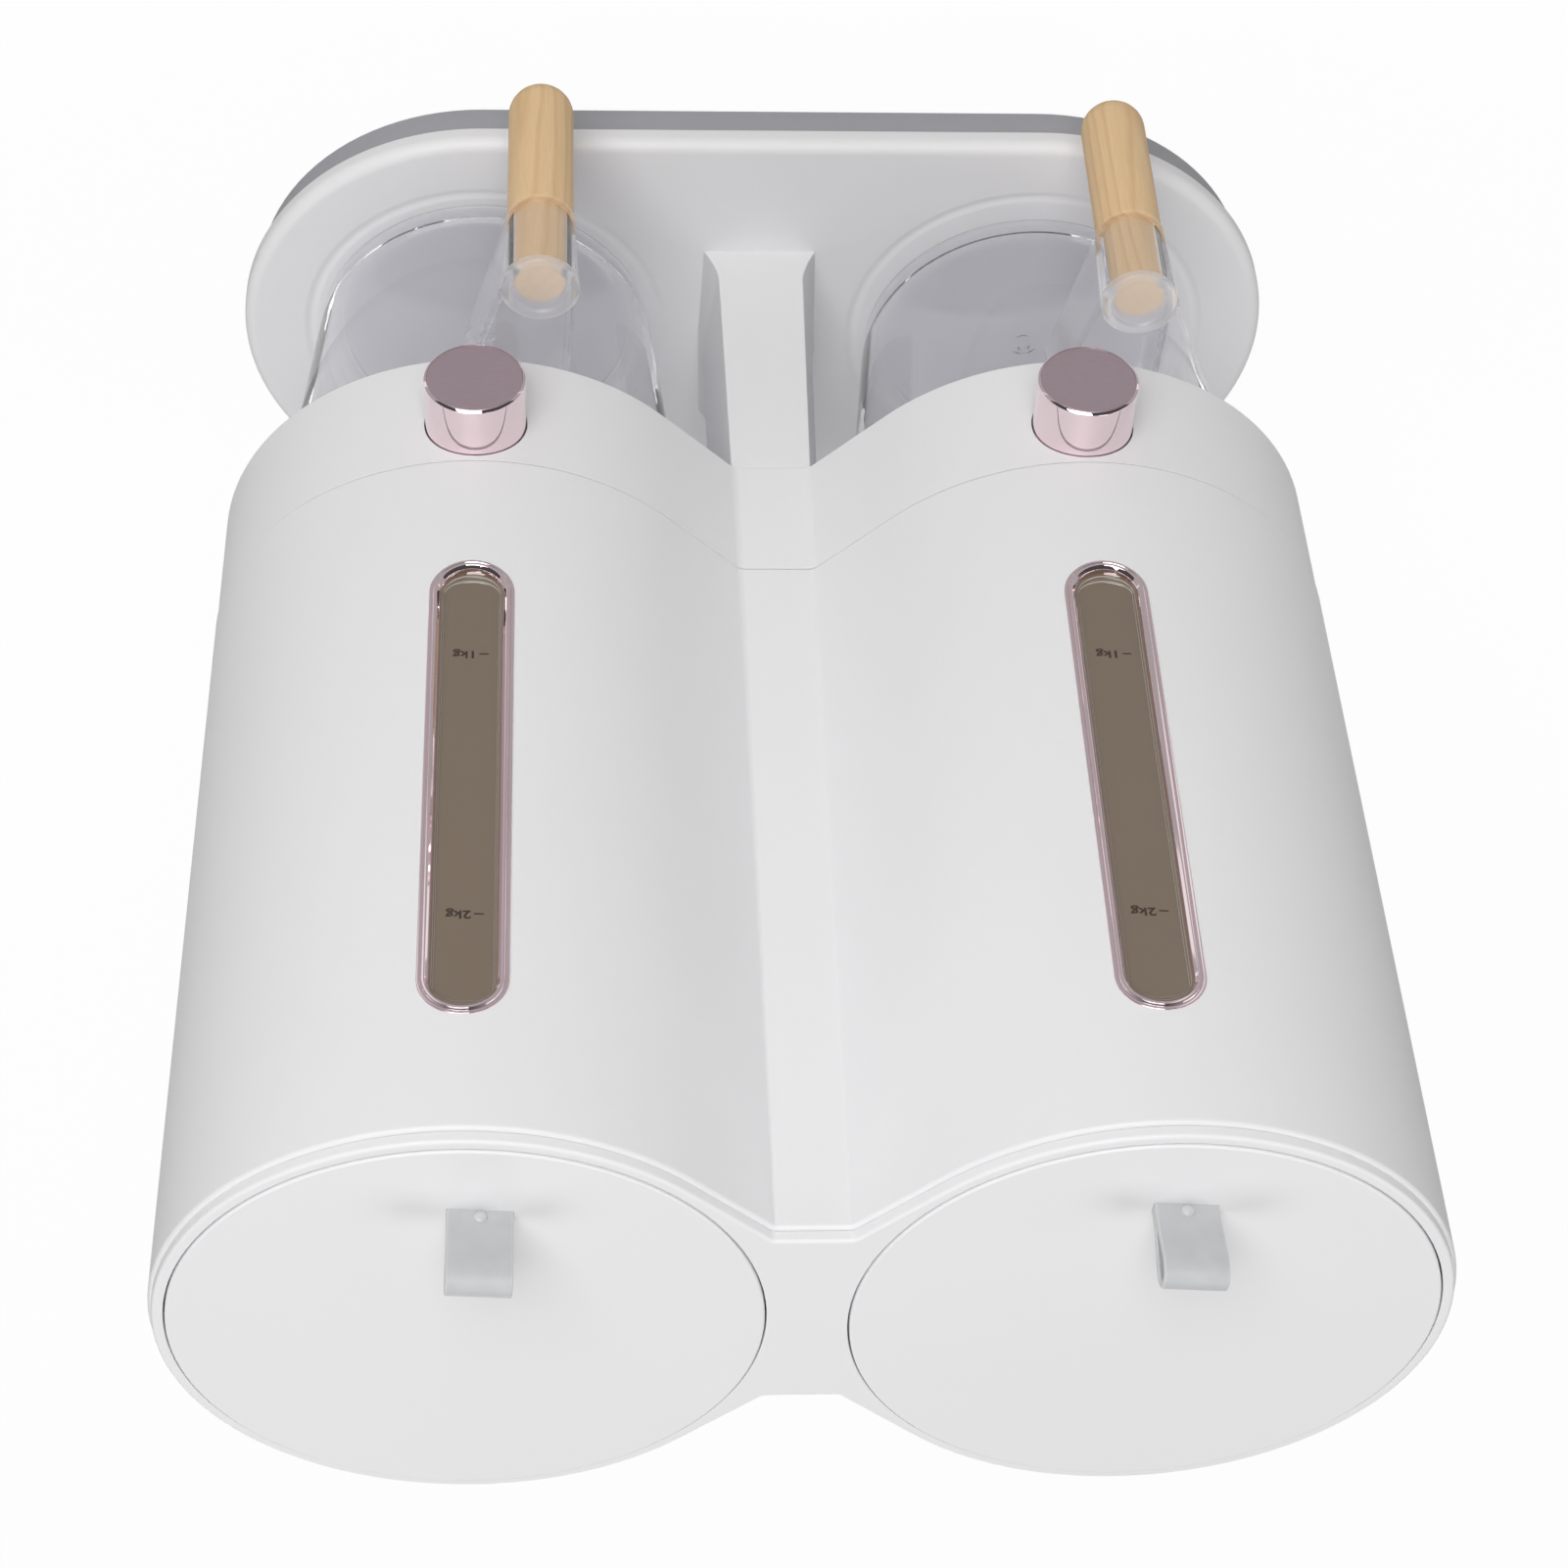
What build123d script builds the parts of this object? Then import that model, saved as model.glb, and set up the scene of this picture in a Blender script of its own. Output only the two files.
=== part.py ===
from build123d import *
import os
from math import cos, hypot, radians, sin, sqrt, tan

# Rice dispenser with two barrels, in millimetres. +Z is up, the front faces -Y,
# and the origin is under the centre of the base. Left is -X, as seen from the front.

# General clearances
SLIDE_GAP = 0.3
SEAT_GAP = 0.05

# Lids and the deck they sit in
LID_RADIUS = 70.0
LID_GAP = 0.4
LID_LAND = 19.2
LID_PROUD = 0.5
LID_FLANGE = 6.0
LID_TOP_WALL = 2.5
LID_EDGE_ROUND = 0.6
LID_TURN = -5.0
PLUG_DEPTH = 8.5
PLUG_WALL = 2.5
PLUG_INSET = 6.5
SEAL_HEIGHT = 2.4
SEAL_DEPTH = 1.3
MOUTH_GAP = 1.0
DECK_RING = 2.8
DECK_INSET = 1.0
DECK_PROUD = 3.0
DECK_FLOOR = 2.5
DECK_EDGE_ROUND = 0.9

# Strap loop on each lid
STRAP_WIDTH = 15.0
STRAP_HEIGHT = 22.0
STRAP_THICKNESS = 1.8
STRAP_BULGE = 5.4
STRAP_PINCH = 5.8
STRAP_EDGE = 24.0
STRAP_FOOT = 2.0
RIVET_RADIUS = 1.3
RIVET_HEAD_RADIUS = 2.5
RIVET_HEAD = 1.1
RIVET_HEIGHT = 3.0
RIVET_DOME = 0.8

# Body shell, collar and pillar
SHELL_HEIGHT = 213.5
SHELL_WALL = 2.4
SHELL_RIM_ROUND = 1.2
SHELL_DRAFT = 0.676
WAIST_FLAT = 17.6
FACET_ANGLE = 44.4
COLLAR_HEIGHT = 40.0
COLLAR_STEP = 0.6
COLLAR_PLATE = 2.5
COVER_THICKNESS = 2.5
PILLAR_HEIGHT = 89.5
PILLAR_WIDTH = 34.4
PILLAR_BEVEL = 5.0
PILLAR_LEAN = 0.9
PILLAR_SHY = 0.3
PILLAR_WALL = 3.0
FLARE_RADIUS = 24.0
FLARE_SWEEP = 60.0
FLARE_FOOT = 1.5
COLUMN_RADIUS = 3.6

# Base
BASE_SETBACK = 3.0
PLATE_THICKNESS = 7.0
PLATE_EDGE_ROUND = 3.5
TRAY_HEIGHT = 12.5
TRAY_INSET = 3.5
TRAY_WALL = 3.0
TRAY_FLOOR = 2.5
RING_WIDTH = 1.6
RING_DEPTH = 0.6
RING_ROOM = 3.2

# Level windows
WINDOW_WIDTH = 20.8
WINDOW_BELOW = 37.0
WINDOW_ABOVE = 31.9
BEZEL_WIDTH = 2.0
BEZEL_PROUD = 0.9
BEZEL_SLEEVE = 1.0
LENS_DEPTH = 1.0
LENS_THICKNESS = 2.4
LENS_BORDER = 2.0
LENS_STEP = 1.2

# Hoppers
HOPPER_GAP = 1.8
HOPPER_WALL = 1.6
FUNNEL_ANGLE = 45.0
OUTLET_WIDTH = 34.0
THROAT_MARGIN = 2.1

# Push buttons, gates and their guides
BUTTON_RADIUS = 13.2
BUTTON_PROUD = 15.6
BUTTON_TRAVEL = 12.0
BUTTON_WALL = 1.8
BUTTON_CHAMFER = 1.0
SLEEVE_WALL = 1.9
SLEEVE_LENGTH = 13.0
FLANGE_THICKNESS = 2.0
OUTLET_LAP = 1.0
GATE_THICKNESS = 2.8
GATE_MARGIN = 3.0
GATE_TAIL_WALL = 2.0
GATE_TAIL_WIDTH = 12.0
GATE_NECK = 6.0
GATE_NECK_WIDTH = 16.0
GATE_PLUG = 12.0
GUIDE_FLOOR = 3.0
GUIDE_RAIL = 2.7
GUIDE_FRONT = 34.0
GUIDE_WALL = 3.0
GUIDE_WALL_HEIGHT = 13.0
GUIDE_WALL_WIDTH = 24.0
GUIDE_EAR = 11.0
GUIDE_EAR_PLACE = 20.0
SPOUT_WALL = 2.0
SPOUT_DROP = 2.0
SPRING_RADIUS = 4.0
SPRING_WIRE = 1.0
SPRING_TURNS = 6
SPRING_POST_RADIUS = 2.6
SPRING_POST_GAP = 1.0

# Cups and handles
CUP_SIDE_ROOM = 6.3
CUP_HEADROOM = 6.0
CUP_WALL = 2.2
CUP_DRAFT = 6.0
CUP_CORNER = 10.0
CUP_FORWARD = 1.1
CUP_STAGGER = 2.1
CUP_TURN = -11.0
CUP_NUB_RADIUS = 4.0
CUP_NUB_HEIGHT = 0.9
HANDLE_GAP = 20.0
HANDLE_RADIUS = 9.75
HANDLE_LOW = 22.0
HANDLE_END_ROUND = 8.5
SPIGOT_RADIUS = 8.2
SPIGOT_SHY = 3.5
SOCKET_RADIUS = 11.6
SOCKET_TAPER = 1.4
SOCKET_LENGTH = 28.0
WEB_THICKNESS = 2.2
WEB_SPACING = 15.0
WEB_RISE = 10.0

# Screws
SCREW_RADIUS = 1.5
SCREW_HEAD_RADIUS = 2.8
SCREW_HEAD = 1.8
SCREW_BITE = 10.0
SCREW_HOLE_GAP = 0.3
COVER_SCREW_OUT = 45.0
COVER_SCREW_ACROSS = 40.0
BOSS_RADIUS = 4.0
COUNTERBORE = 4.0
PILLAR_SCREW_OUT = 9.0
PILLAR_SCREW_ACROSS = 19.0

# Plan sizes that follow from the lid
WELL_RADIUS = LID_RADIUS + LID_GAP
BARREL_OFFSET = WELL_RADIUS + LID_LAND / 2
SHELL_RADIUS = WELL_RADIUS + DECK_RING + DECK_INSET
PLUG_RADIUS = LID_RADIUS - PLUG_INSET
MOUTH_RADIUS = PLUG_RADIUS + MOUTH_GAP
STRAP_REACH = LID_RADIUS - STRAP_EDGE
BASE_RADIUS = SHELL_RADIUS - BASE_SETBACK
FACET = radians(FACET_ANGLE)
DRAFT_SLOPE = tan(radians(SHELL_DRAFT))

# Levels, from the floor up
PLATE_TOP = TRAY_HEIGHT + PLATE_THICKNESS
COLLAR_LOW = PLATE_TOP + PILLAR_HEIGHT
SEAM = COLLAR_LOW + COLLAR_HEIGHT
SHELF = SEAM + COLLAR_PLATE
RIM = SEAM + SHELL_HEIGHT
DECK_TOP = RIM + DECK_PROUD
LID_TOP = DECK_TOP + LID_PROUD
WELL_FLOOR = LID_TOP - LID_FLANGE
DECK_LOW = WELL_FLOOR - DECK_FLOOR
COVER_TOP = COLLAR_LOW + COVER_THICKNESS

# The button's axis lies as high in the collar as its sleeve allows
SLEEVE_BORE = BUTTON_RADIUS + SLIDE_GAP
SLEEVE_RADIUS = SLEEVE_BORE + SLEEVE_WALL
BUTTON_AXIS = SEAM - SLIDE_GAP - SLEEVE_RADIUS
GATE_LOW = BUTTON_AXIS - GATE_THICKNESS / 2
GATE_HIGH = BUTTON_AXIS + GATE_THICKNESS / 2
GUIDE_TOP = GATE_LOW - SLIDE_GAP
GUIDE_LOW = GUIDE_TOP - GUIDE_FLOOR
HOPPER_LOW = GATE_HIGH + SLIDE_GAP

# Outlet and gate, along the button's travel
OUTLET_DEPTH = BUTTON_TRAVEL - OUTLET_LAP
THROAT_RADIUS = hypot(OUTLET_WIDTH, OUTLET_DEPTH) / 2 + THROAT_MARGIN
GATE_WIDTH = OUTLET_WIDTH + 2 * GATE_MARGIN
RAIL_INNER = GATE_WIDTH / 2 + SLIDE_GAP
RAIL_OUTER = RAIL_INNER + GUIDE_RAIL

# The spring stands behind the funnel, and its posts leave room for the travel
FUNNEL_SLOPE = tan(radians(FUNNEL_ANGLE))
FUNNEL_DROP = HOPPER_WALL / cos(radians(FUNNEL_ANGLE))
SPRING_LENGTH = 2 * BUTTON_TRAVEL
SPRING_POST = (SPRING_LENGTH - BUTTON_TRAVEL) / 2 - SPRING_POST_GAP
TAIL_HIGH = BUTTON_AXIS + SPRING_RADIUS + SPRING_WIRE / 2
TAIL_FRONT = THROAT_RADIUS + FUNNEL_DROP + (TAIL_HIGH - HOPPER_LOW) / FUNNEL_SLOPE
GATE_TAIL = TAIL_FRONT + GATE_TAIL_WALL
REAR_WALL = GATE_TAIL + SPRING_LENGTH

# Cup and handle
CUP_RIM = COLLAR_LOW - CUP_HEADROOM
CUP_RADIUS = BARREL_OFFSET - PILLAR_WIDTH / 2 - CUP_SIDE_ROOM
CUP_HEIGHT = CUP_RIM - PLATE_TOP
CUP_FOOT_RADIUS = CUP_RADIUS - CUP_HEIGHT * tan(radians(CUP_DRAFT))
HANDLE_REACH = CUP_RADIUS + HANDLE_GAP + SOCKET_RADIUS
SOCKET_LOW = CUP_RIM - SOCKET_LENGTH


def inset_at(height):
    """How far the tapered body has drawn in at a height, measured from its rim."""
    return (RIM - height) * DRAFT_SLOPE


def barrel_radius(height):
    """Outside radius of the barrel at a height."""
    return SHELL_RADIUS - inset_at(height)


def waist_half_depth(inset):
    """Half the depth of the waist where the outline is drawn in by an inset."""
    run = BARREL_OFFSET - WAIST_FLAT / 2
    return (SHELL_RADIUS - run * sin(FACET)) / cos(FACET) - inset


def waist_half_flat(inset):
    """Half the width of the flat on the waist where the outline is drawn in by an inset."""
    return WAIST_FLAT / 2 + inset * tan(FACET / 2)


def body_outline(inset):
    """Plan of the two barrels: two arcs, the facets tangent to them and the flats of the waist."""
    radius = SHELL_RADIUS - inset
    flat = waist_half_flat(inset)
    depth = waist_half_depth(inset)
    touch_x = BARREL_OFFSET - radius * sin(FACET)
    touch_y = radius * cos(FACET)
    far = BARREL_OFFSET + radius
    edges = [
        Line((-flat, -depth), (flat, -depth)),
        Line((flat, -depth), (touch_x, -touch_y)),
        ThreePointArc((touch_x, -touch_y), (far, 0), (touch_x, touch_y)),
        Line((touch_x, touch_y), (flat, depth)),
        Line((flat, depth), (-flat, depth)),
        Line((-flat, depth), (-touch_x, touch_y)),
        ThreePointArc((-touch_x, touch_y), (-far, 0), (-touch_x, -touch_y)),
        Line((-touch_x, -touch_y), (-flat, -depth)),
    ]
    return make_face(edges)


def body_prism(inset, low, high):
    """Solid of the body's plan between two levels, with the barrels' draft."""
    foot = Pos(0, 0, low) * body_outline(inset + inset_at(low))
    return extrude(foot, amount=high - low, taper=-SHELL_DRAFT)


def straight_prism(inset, low, high):
    """Solid of the body's plan between two levels, with upright walls."""
    return extrude(Pos(0, 0, low) * body_outline(inset), amount=high - low)


def stadium(radius, low, high):
    """Upright solid with a round end about each barrel's axis."""
    plan = SlotCenterToCenter(2 * BARREL_OFFSET, 2 * radius)
    return extrude(Pos(0, 0, low) * plan, amount=high - low)


def upright(radius, low, high, x=0.0, y=0.0):
    """Cylinder along Z between two levels."""
    base_align = (Align.CENTER, Align.CENTER, Align.MIN)
    return Pos(x, y, low) * Cylinder(radius, high - low, align=base_align)


def lengthwise(radius, front, rear, z):
    """Cylinder along Y from its front to its rear, on the barrel's axis plane."""
    base_align = (Align.CENTER, Align.CENTER, Align.MIN)
    return Pos(0, front, z) * Rot(-90, 0, 0) * Cylinder(radius, rear - front, align=base_align)


def block(x_low, x_high, y_low, y_high, z_low, z_high):
    """Box between its lowest and highest corners."""
    middle = Pos((x_low + x_high) / 2, (y_low + y_high) / 2, (z_low + z_high) / 2)
    return middle * Box(x_high - x_low, y_high - y_low, z_high - z_low)


def screw(x, y, seat, tip):
    """Pan-head screw along Z: its head lies outside the seat, its shank runs to the tip."""
    away = 1 if seat > tip else -1
    head_end = seat + away * SCREW_HEAD
    head = upright(SCREW_HEAD_RADIUS, min(seat, head_end), max(seat, head_end), x, y)
    return head + upright(SCREW_RADIUS, min(seat, tip), max(seat, tip), x, y)


def four_places(out, across):
    """The four corners of a screw pattern."""
    return [(sx * out, sy * across) for sx in (-1, 1) for sy in (-1, 1)]


# Base
PILLAR_SCREWS = four_places(PILLAR_SCREW_OUT, PILLAR_SCREW_ACROSS)
PILOT_RADIUS = SCREW_RADIUS + SEAT_GAP
SHANK_HOLE = SCREW_RADIUS + SCREW_HOLE_GAP
HEAD_HOLE = SCREW_HEAD_RADIUS + SCREW_HOLE_GAP
COUNTERBORE_TOP = COUNTERBORE + SCREW_HEAD


def make_base_tray():
    """Grey tray under the base plate, with bosses for the screws that hold the pillar."""
    radius = BASE_RADIUS - TRAY_INSET
    tray = stadium(radius, 0, TRAY_HEIGHT)
    tray -= stadium(radius - TRAY_WALL, TRAY_FLOOR, TRAY_HEIGHT)
    for x, y in PILLAR_SCREWS:
        tray += upright(HEAD_HOLE + TRAY_WALL, TRAY_FLOOR, TRAY_HEIGHT, x, y)
    for x, y in PILLAR_SCREWS:
        tray -= upright(HEAD_HOLE, 0, COUNTERBORE_TOP, x, y)
        tray -= upright(SHANK_HOLE, COUNTERBORE_TOP, TRAY_HEIGHT, x, y)
    return tray


def make_base_plate():
    """White plate with a rounded edge and a shallow ring round the place of each cup."""
    plate = stadium(BASE_RADIUS, TRAY_HEIGHT, PLATE_TOP)
    plate = fillet(plate.edges().group_by(Axis.Z)[-1], PLATE_EDGE_ROUND)
    ring_inner = CUP_FOOT_RADIUS + RING_ROOM
    for side in (-1, 1):
        ring = upright(ring_inner + RING_WIDTH, PLATE_TOP - RING_DEPTH, PLATE_TOP)
        ring -= upright(ring_inner, PLATE_TOP - RING_DEPTH, PLATE_TOP)
        plate -= Pos(side * BARREL_OFFSET, -CUP_FORWARD, 0) * ring
    for x, y in PILLAR_SCREWS:
        plate -= upright(SHANK_HOLE, TRAY_HEIGHT, PLATE_TOP, x, y)
    return plate


def make_base_screws():
    """Screws from the tray, through the plate, up into the pillar."""
    screws = [screw(x, y, COUNTERBORE_TOP, PLATE_TOP + SCREW_BITE) for x, y in PILLAR_SCREWS]
    return Part() + screws


# Pillar
def make_bevel_cutter(half_width, half_depth, flat):
    """Cutter for the front right bevel, which leans out and ends in a hollow curve above the foot."""
    across = half_width - flat
    run = hypot(across, PILLAR_BEVEL)
    corner_depth = across * PILLAR_BEVEL / run
    flare_depth = corner_depth - PILLAR_LEAN
    drop = sqrt(FLARE_RADIUS**2 - (FLARE_RADIUS - flare_depth)**2)
    flare_top = PLATE_TOP + FLARE_FOOT + drop
    top = COLLAR_LOW + corner_depth
    curve = []
    for sweep_angle in (0, FLARE_SWEEP / 2, FLARE_SWEEP):
        out = PILLAR_LEAN + FLARE_RADIUS * (1 - cos(radians(sweep_angle)))
        curve.append((out, flare_top - FLARE_RADIUS * sin(radians(sweep_angle))))
    far = curve[-1][0]
    profile = make_face([
        ThreePointArc(*curve),
        Line(curve[-1], (far, top)),
        Line((far, top), (0, top)),
        Line((0, top), curve[0]),
    ])
    along = Vector(across / run, PILLAR_BEVEL / run, 0)
    outward = Vector(PILLAR_BEVEL / run, -across / run, 0)
    middle = Vector(flat, -half_depth, 0) + along * (run / 2)
    plane = Plane(origin=middle, x_dir=outward, z_dir=outward.cross(Vector(0, 0, 1)))
    return extrude(plane * profile, amount=run, both=True)


def make_pillar():
    """Hollow pillar between the cups, almost flush with the waist, with a screw column in each corner."""
    waist_inset = COLLAR_STEP + inset_at(COLLAR_LOW) + PILLAR_SHY
    half_width = PILLAR_WIDTH / 2
    half_depth = waist_half_depth(waist_inset)
    flat = waist_half_flat(waist_inset)
    pillar = block(-half_width, half_width, -half_depth, half_depth, PLATE_TOP, COLLAR_LOW)
    cutter = make_bevel_cutter(half_width, half_depth, flat)
    pillar -= cutter
    pillar -= mirror(cutter, Plane.YZ)
    pillar -= mirror(cutter, Plane.XZ)
    pillar -= mirror(mirror(cutter, Plane.XZ), Plane.YZ)
    inner_width = flat - PILLAR_WALL / 2
    inner_depth = half_depth - PILLAR_BEVEL
    hollow = block(
        -inner_width, inner_width, -inner_depth, inner_depth, PLATE_TOP, COLLAR_LOW - PILLAR_WALL
    )
    pillar -= hollow
    for x, y in PILLAR_SCREWS:
        pillar += upright(COLUMN_RADIUS, PLATE_TOP, COLLAR_LOW, x, y)
    for x, y in PILLAR_SCREWS:
        pillar -= upright(PILOT_RADIUS, PLATE_TOP, PLATE_TOP + SCREW_BITE + SLIDE_GAP, x, y)
        pillar -= upright(PILOT_RADIUS, COLLAR_LOW - SCREW_BITE - SLIDE_GAP, COLLAR_LOW, x, y)
    return pillar


def make_pillar_screws():
    """Screws from inside the collar, through the bottom cover, down into the pillar."""
    screws = [screw(x, y, COVER_TOP, COLLAR_LOW - SCREW_BITE) for x, y in PILLAR_SCREWS]
    return Part() + screws


# Collar and bottom cover
COVER_SCREWS = four_places(BARREL_OFFSET + COVER_SCREW_OUT, COVER_SCREW_ACROSS)
GUIDE_SCREW_X = RAIL_OUTER + GUIDE_EAR / 2
GUIDE_SCREWS = [
    (side * BARREL_OFFSET + hand * GUIDE_SCREW_X, GUIDE_EAR_PLACE)
    for side in (-1, 1)
    for hand in (-1, 1)
]
COLLAR_FRONT = SHELL_RADIUS - COLLAR_STEP - inset_at(BUTTON_AXIS)
SLEEVE_END = SLEEVE_LENGTH - COLLAR_FRONT
SHELF_OPENING = THROAT_RADIUS + (SHELF - HOPPER_LOW + FUNNEL_DROP) / FUNNEL_SLOPE + COLLAR_PLATE


def make_collar():
    """Wall under the seam, with a shelf that carries the hoppers and a sleeve for each button."""
    collar = body_prism(COLLAR_STEP, COLLAR_LOW, SEAM)
    shelf_inset = inset_at(SEAM) + SHELL_WALL + SLIDE_GAP
    collar += straight_prism(shelf_inset, SEAM, SHELF)
    collar -= body_prism(COLLAR_STEP + SHELL_WALL, COLLAR_LOW, SEAM)
    inside = body_prism(COLLAR_STEP + SHELL_WALL / 2, COLLAR_LOW, SEAM)
    for side in (-1, 1):
        place = Pos(side * BARREL_OFFSET, 0, 0)
        sleeve = lengthwise(SLEEVE_RADIUS, -COLLAR_FRONT, SLEEVE_END, BUTTON_AXIS)
        collar += (place * sleeve) & inside
        collar -= place * lengthwise(SLEEVE_BORE, -2 * COLLAR_FRONT, SLEEVE_END, BUTTON_AXIS)
        collar -= place * upright(SHELF_OPENING, SEAM, SHELF)
    for x, y in COVER_SCREWS:
        collar += upright(BOSS_RADIUS, COVER_TOP, SEAM, x, y)
    for x, y in COVER_SCREWS:
        collar -= upright(PILOT_RADIUS, COVER_TOP, COVER_TOP + SCREW_BITE + SLIDE_GAP, x, y)
    return collar


def make_bottom_cover():
    """Plate that closes the collar from below, open at the spouts, with bosses for the guides."""
    cover_inset = COLLAR_STEP + inset_at(COLLAR_LOW) + SHELL_WALL + SLIDE_GAP
    cover = straight_prism(cover_inset, COLLAR_LOW, COVER_TOP)
    for x, y in GUIDE_SCREWS:
        cover += upright(BOSS_RADIUS, COVER_TOP, GUIDE_LOW, x, y)
    for x, y in GUIDE_SCREWS:
        cover -= upright(PILOT_RADIUS, GUIDE_LOW - SCREW_BITE, GUIDE_LOW, x, y)
    for side in (-1, 1):
        cover -= upright(THROAT_RADIUS + SPOUT_WALL, COLLAR_LOW, COVER_TOP, side * BARREL_OFFSET)
    for x, y in PILLAR_SCREWS + COVER_SCREWS:
        cover -= upright(SHANK_HOLE, COLLAR_LOW, COVER_TOP, x, y)
    return cover


def make_cover_screws():
    """Screws from below that hold the bottom cover to the collar."""
    screws = [screw(x, y, COLLAR_LOW, COVER_TOP + SCREW_BITE) for x, y in COVER_SCREWS]
    return Part() + screws


def make_guide_screws():
    """Screws that hold the gate guides on the bosses of the bottom cover."""
    tip = GUIDE_LOW - SCREW_BITE + SLIDE_GAP
    screws = [screw(x, y, GUIDE_TOP, tip) for x, y in GUIDE_SCREWS]
    return Part() + screws


# Body shell with its windows
WINDOW_LENGTH = SHELL_HEIGHT - WINDOW_BELOW - WINDOW_ABOVE
WINDOW_MIDDLE = SEAM + WINDOW_BELOW + WINDOW_LENGTH / 2


def barrel_cone(proud):
    """Tapered solid of one barrel over the body shell's height, offset from its outside."""
    base_align = (Align.CENTER, Align.CENTER, Align.MIN)
    low_radius = barrel_radius(SEAM) + proud
    high_radius = barrel_radius(RIM) + proud
    return Pos(0, 0, SEAM) * Cone(low_radius, high_radius, SHELL_HEIGHT, align=base_align)


def window_prism(border):
    """Stadium-ended prism from a barrel's axis to its front, drawn in from the bezel's outside."""
    plane = Plane(origin=(0, 0, WINDOW_MIDDLE), x_dir=(0, 0, 1), z_dir=(0, -1, 0))
    plan = SlotOverall(WINDOW_LENGTH - 2 * border, WINDOW_WIDTH - 2 * border)
    return extrude(plane * plan, amount=SHELL_RADIUS + BEZEL_WIDTH)


SLEEVE_BORDER = BEZEL_WIDTH - BEZEL_SLEEVE


def make_body_shell():
    """Two tapered barrels in one wall, joined by the waist, with a rounded rim and two windows."""
    outer = body_prism(0, SEAM, RIM)
    outer = fillet(outer.edges().group_by(Axis.Z)[-1], SHELL_RIM_ROUND)
    shell = outer - body_prism(SHELL_WALL, SEAM, RIM)
    for side in (-1, 1):
        shell -= Pos(side * BARREL_OFFSET, 0, 0) * window_prism(SLEEVE_BORDER - SEAT_GAP)
    return shell


def make_window_bezel():
    """Frame on the face of the shell with a sleeve through its wall."""
    face_layer = barrel_cone(BEZEL_PROUD) - barrel_cone(0)
    wall_layer = barrel_cone(0) - barrel_cone(-SHELL_WALL)
    bezel = window_prism(0) & face_layer
    bezel += window_prism(SLEEVE_BORDER) & wall_layer
    bezel -= window_prism(BEZEL_WIDTH)
    return bezel


def make_window_lens():
    """Clear pane inside the bezel, with a panel set one step deeper."""
    back = -LENS_DEPTH - LENS_THICKNESS
    lens = window_prism(BEZEL_WIDTH + SEAT_GAP) & (barrel_cone(-LENS_DEPTH) - barrel_cone(back))
    step = barrel_cone(-LENS_DEPTH) - barrel_cone(-LENS_DEPTH - LENS_STEP)
    lens -= window_prism(BEZEL_WIDTH + LENS_BORDER) & step
    return lens


# Top deck, hoppers and funnels
HOPPER_RADIUS = barrel_radius(SEAM) - SHELL_WALL - HOPPER_GAP
HOPPER_INNER = HOPPER_RADIUS - HOPPER_WALL
FUNNEL_TOP = HOPPER_LOW + HOPPER_WALL + (HOPPER_INNER - THROAT_RADIUS) * FUNNEL_SLOPE


def make_top_deck():
    """Cover on the rim of the shell with a round well and a mouth for each barrel."""
    upper = straight_prism(DECK_INSET, RIM, DECK_TOP)
    upper = fillet(upper.edges().group_by(Axis.Z)[-1], DECK_EDGE_ROUND)
    plug_inset = SHELL_WALL + SLIDE_GAP + inset_at(DECK_LOW)
    deck = upper + straight_prism(plug_inset, DECK_LOW, RIM)
    for side in (-1, 1):
        deck -= upright(WELL_RADIUS, WELL_FLOOR, DECK_TOP, side * BARREL_OFFSET)
        deck -= upright(MOUTH_RADIUS, DECK_LOW, WELL_FLOOR, side * BARREL_OFFSET)
    return deck


def make_hopper():
    """Round wall of a barrel's canister, from the funnel's rim up to the deck."""
    return upright(HOPPER_RADIUS, FUNNEL_TOP, DECK_LOW) - upright(HOPPER_INNER, FUNNEL_TOP, DECK_LOW)


def make_funnel():
    """Sloped floor of the canister: a skirt on the collar's shelf, a funnel and the outlet slot."""
    floor = HOPPER_LOW + HOPPER_WALL
    floor_radius = THROAT_RADIUS + (FUNNEL_DROP - HOPPER_WALL) / FUNNEL_SLOPE
    skirt_top = HOPPER_LOW + (HOPPER_INNER - floor_radius) * FUNNEL_SLOPE
    profile = Polyline(
        (0, HOPPER_LOW),
        (floor_radius, HOPPER_LOW),
        (HOPPER_INNER, skirt_top),
        (HOPPER_INNER, SHELF),
        (HOPPER_RADIUS, SHELF),
        (HOPPER_RADIUS, FUNNEL_TOP),
        (HOPPER_INNER, FUNNEL_TOP),
        (THROAT_RADIUS, floor),
        (0, floor),
        close=True,
    )
    funnel = revolve(make_face(Plane.XZ * profile), Axis.Z)
    half_width = OUTLET_WIDTH / 2
    half_depth = OUTLET_DEPTH / 2
    return funnel - block(-half_width, half_width, -half_depth, half_depth, HOPPER_LOW, floor)


# Lids with their seals, straps and rivets
GROOVE_RADIUS = PLUG_RADIUS - SEAL_DEPTH
SLOT_DEPTH = 2 * STRAP_THICKNESS


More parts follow.
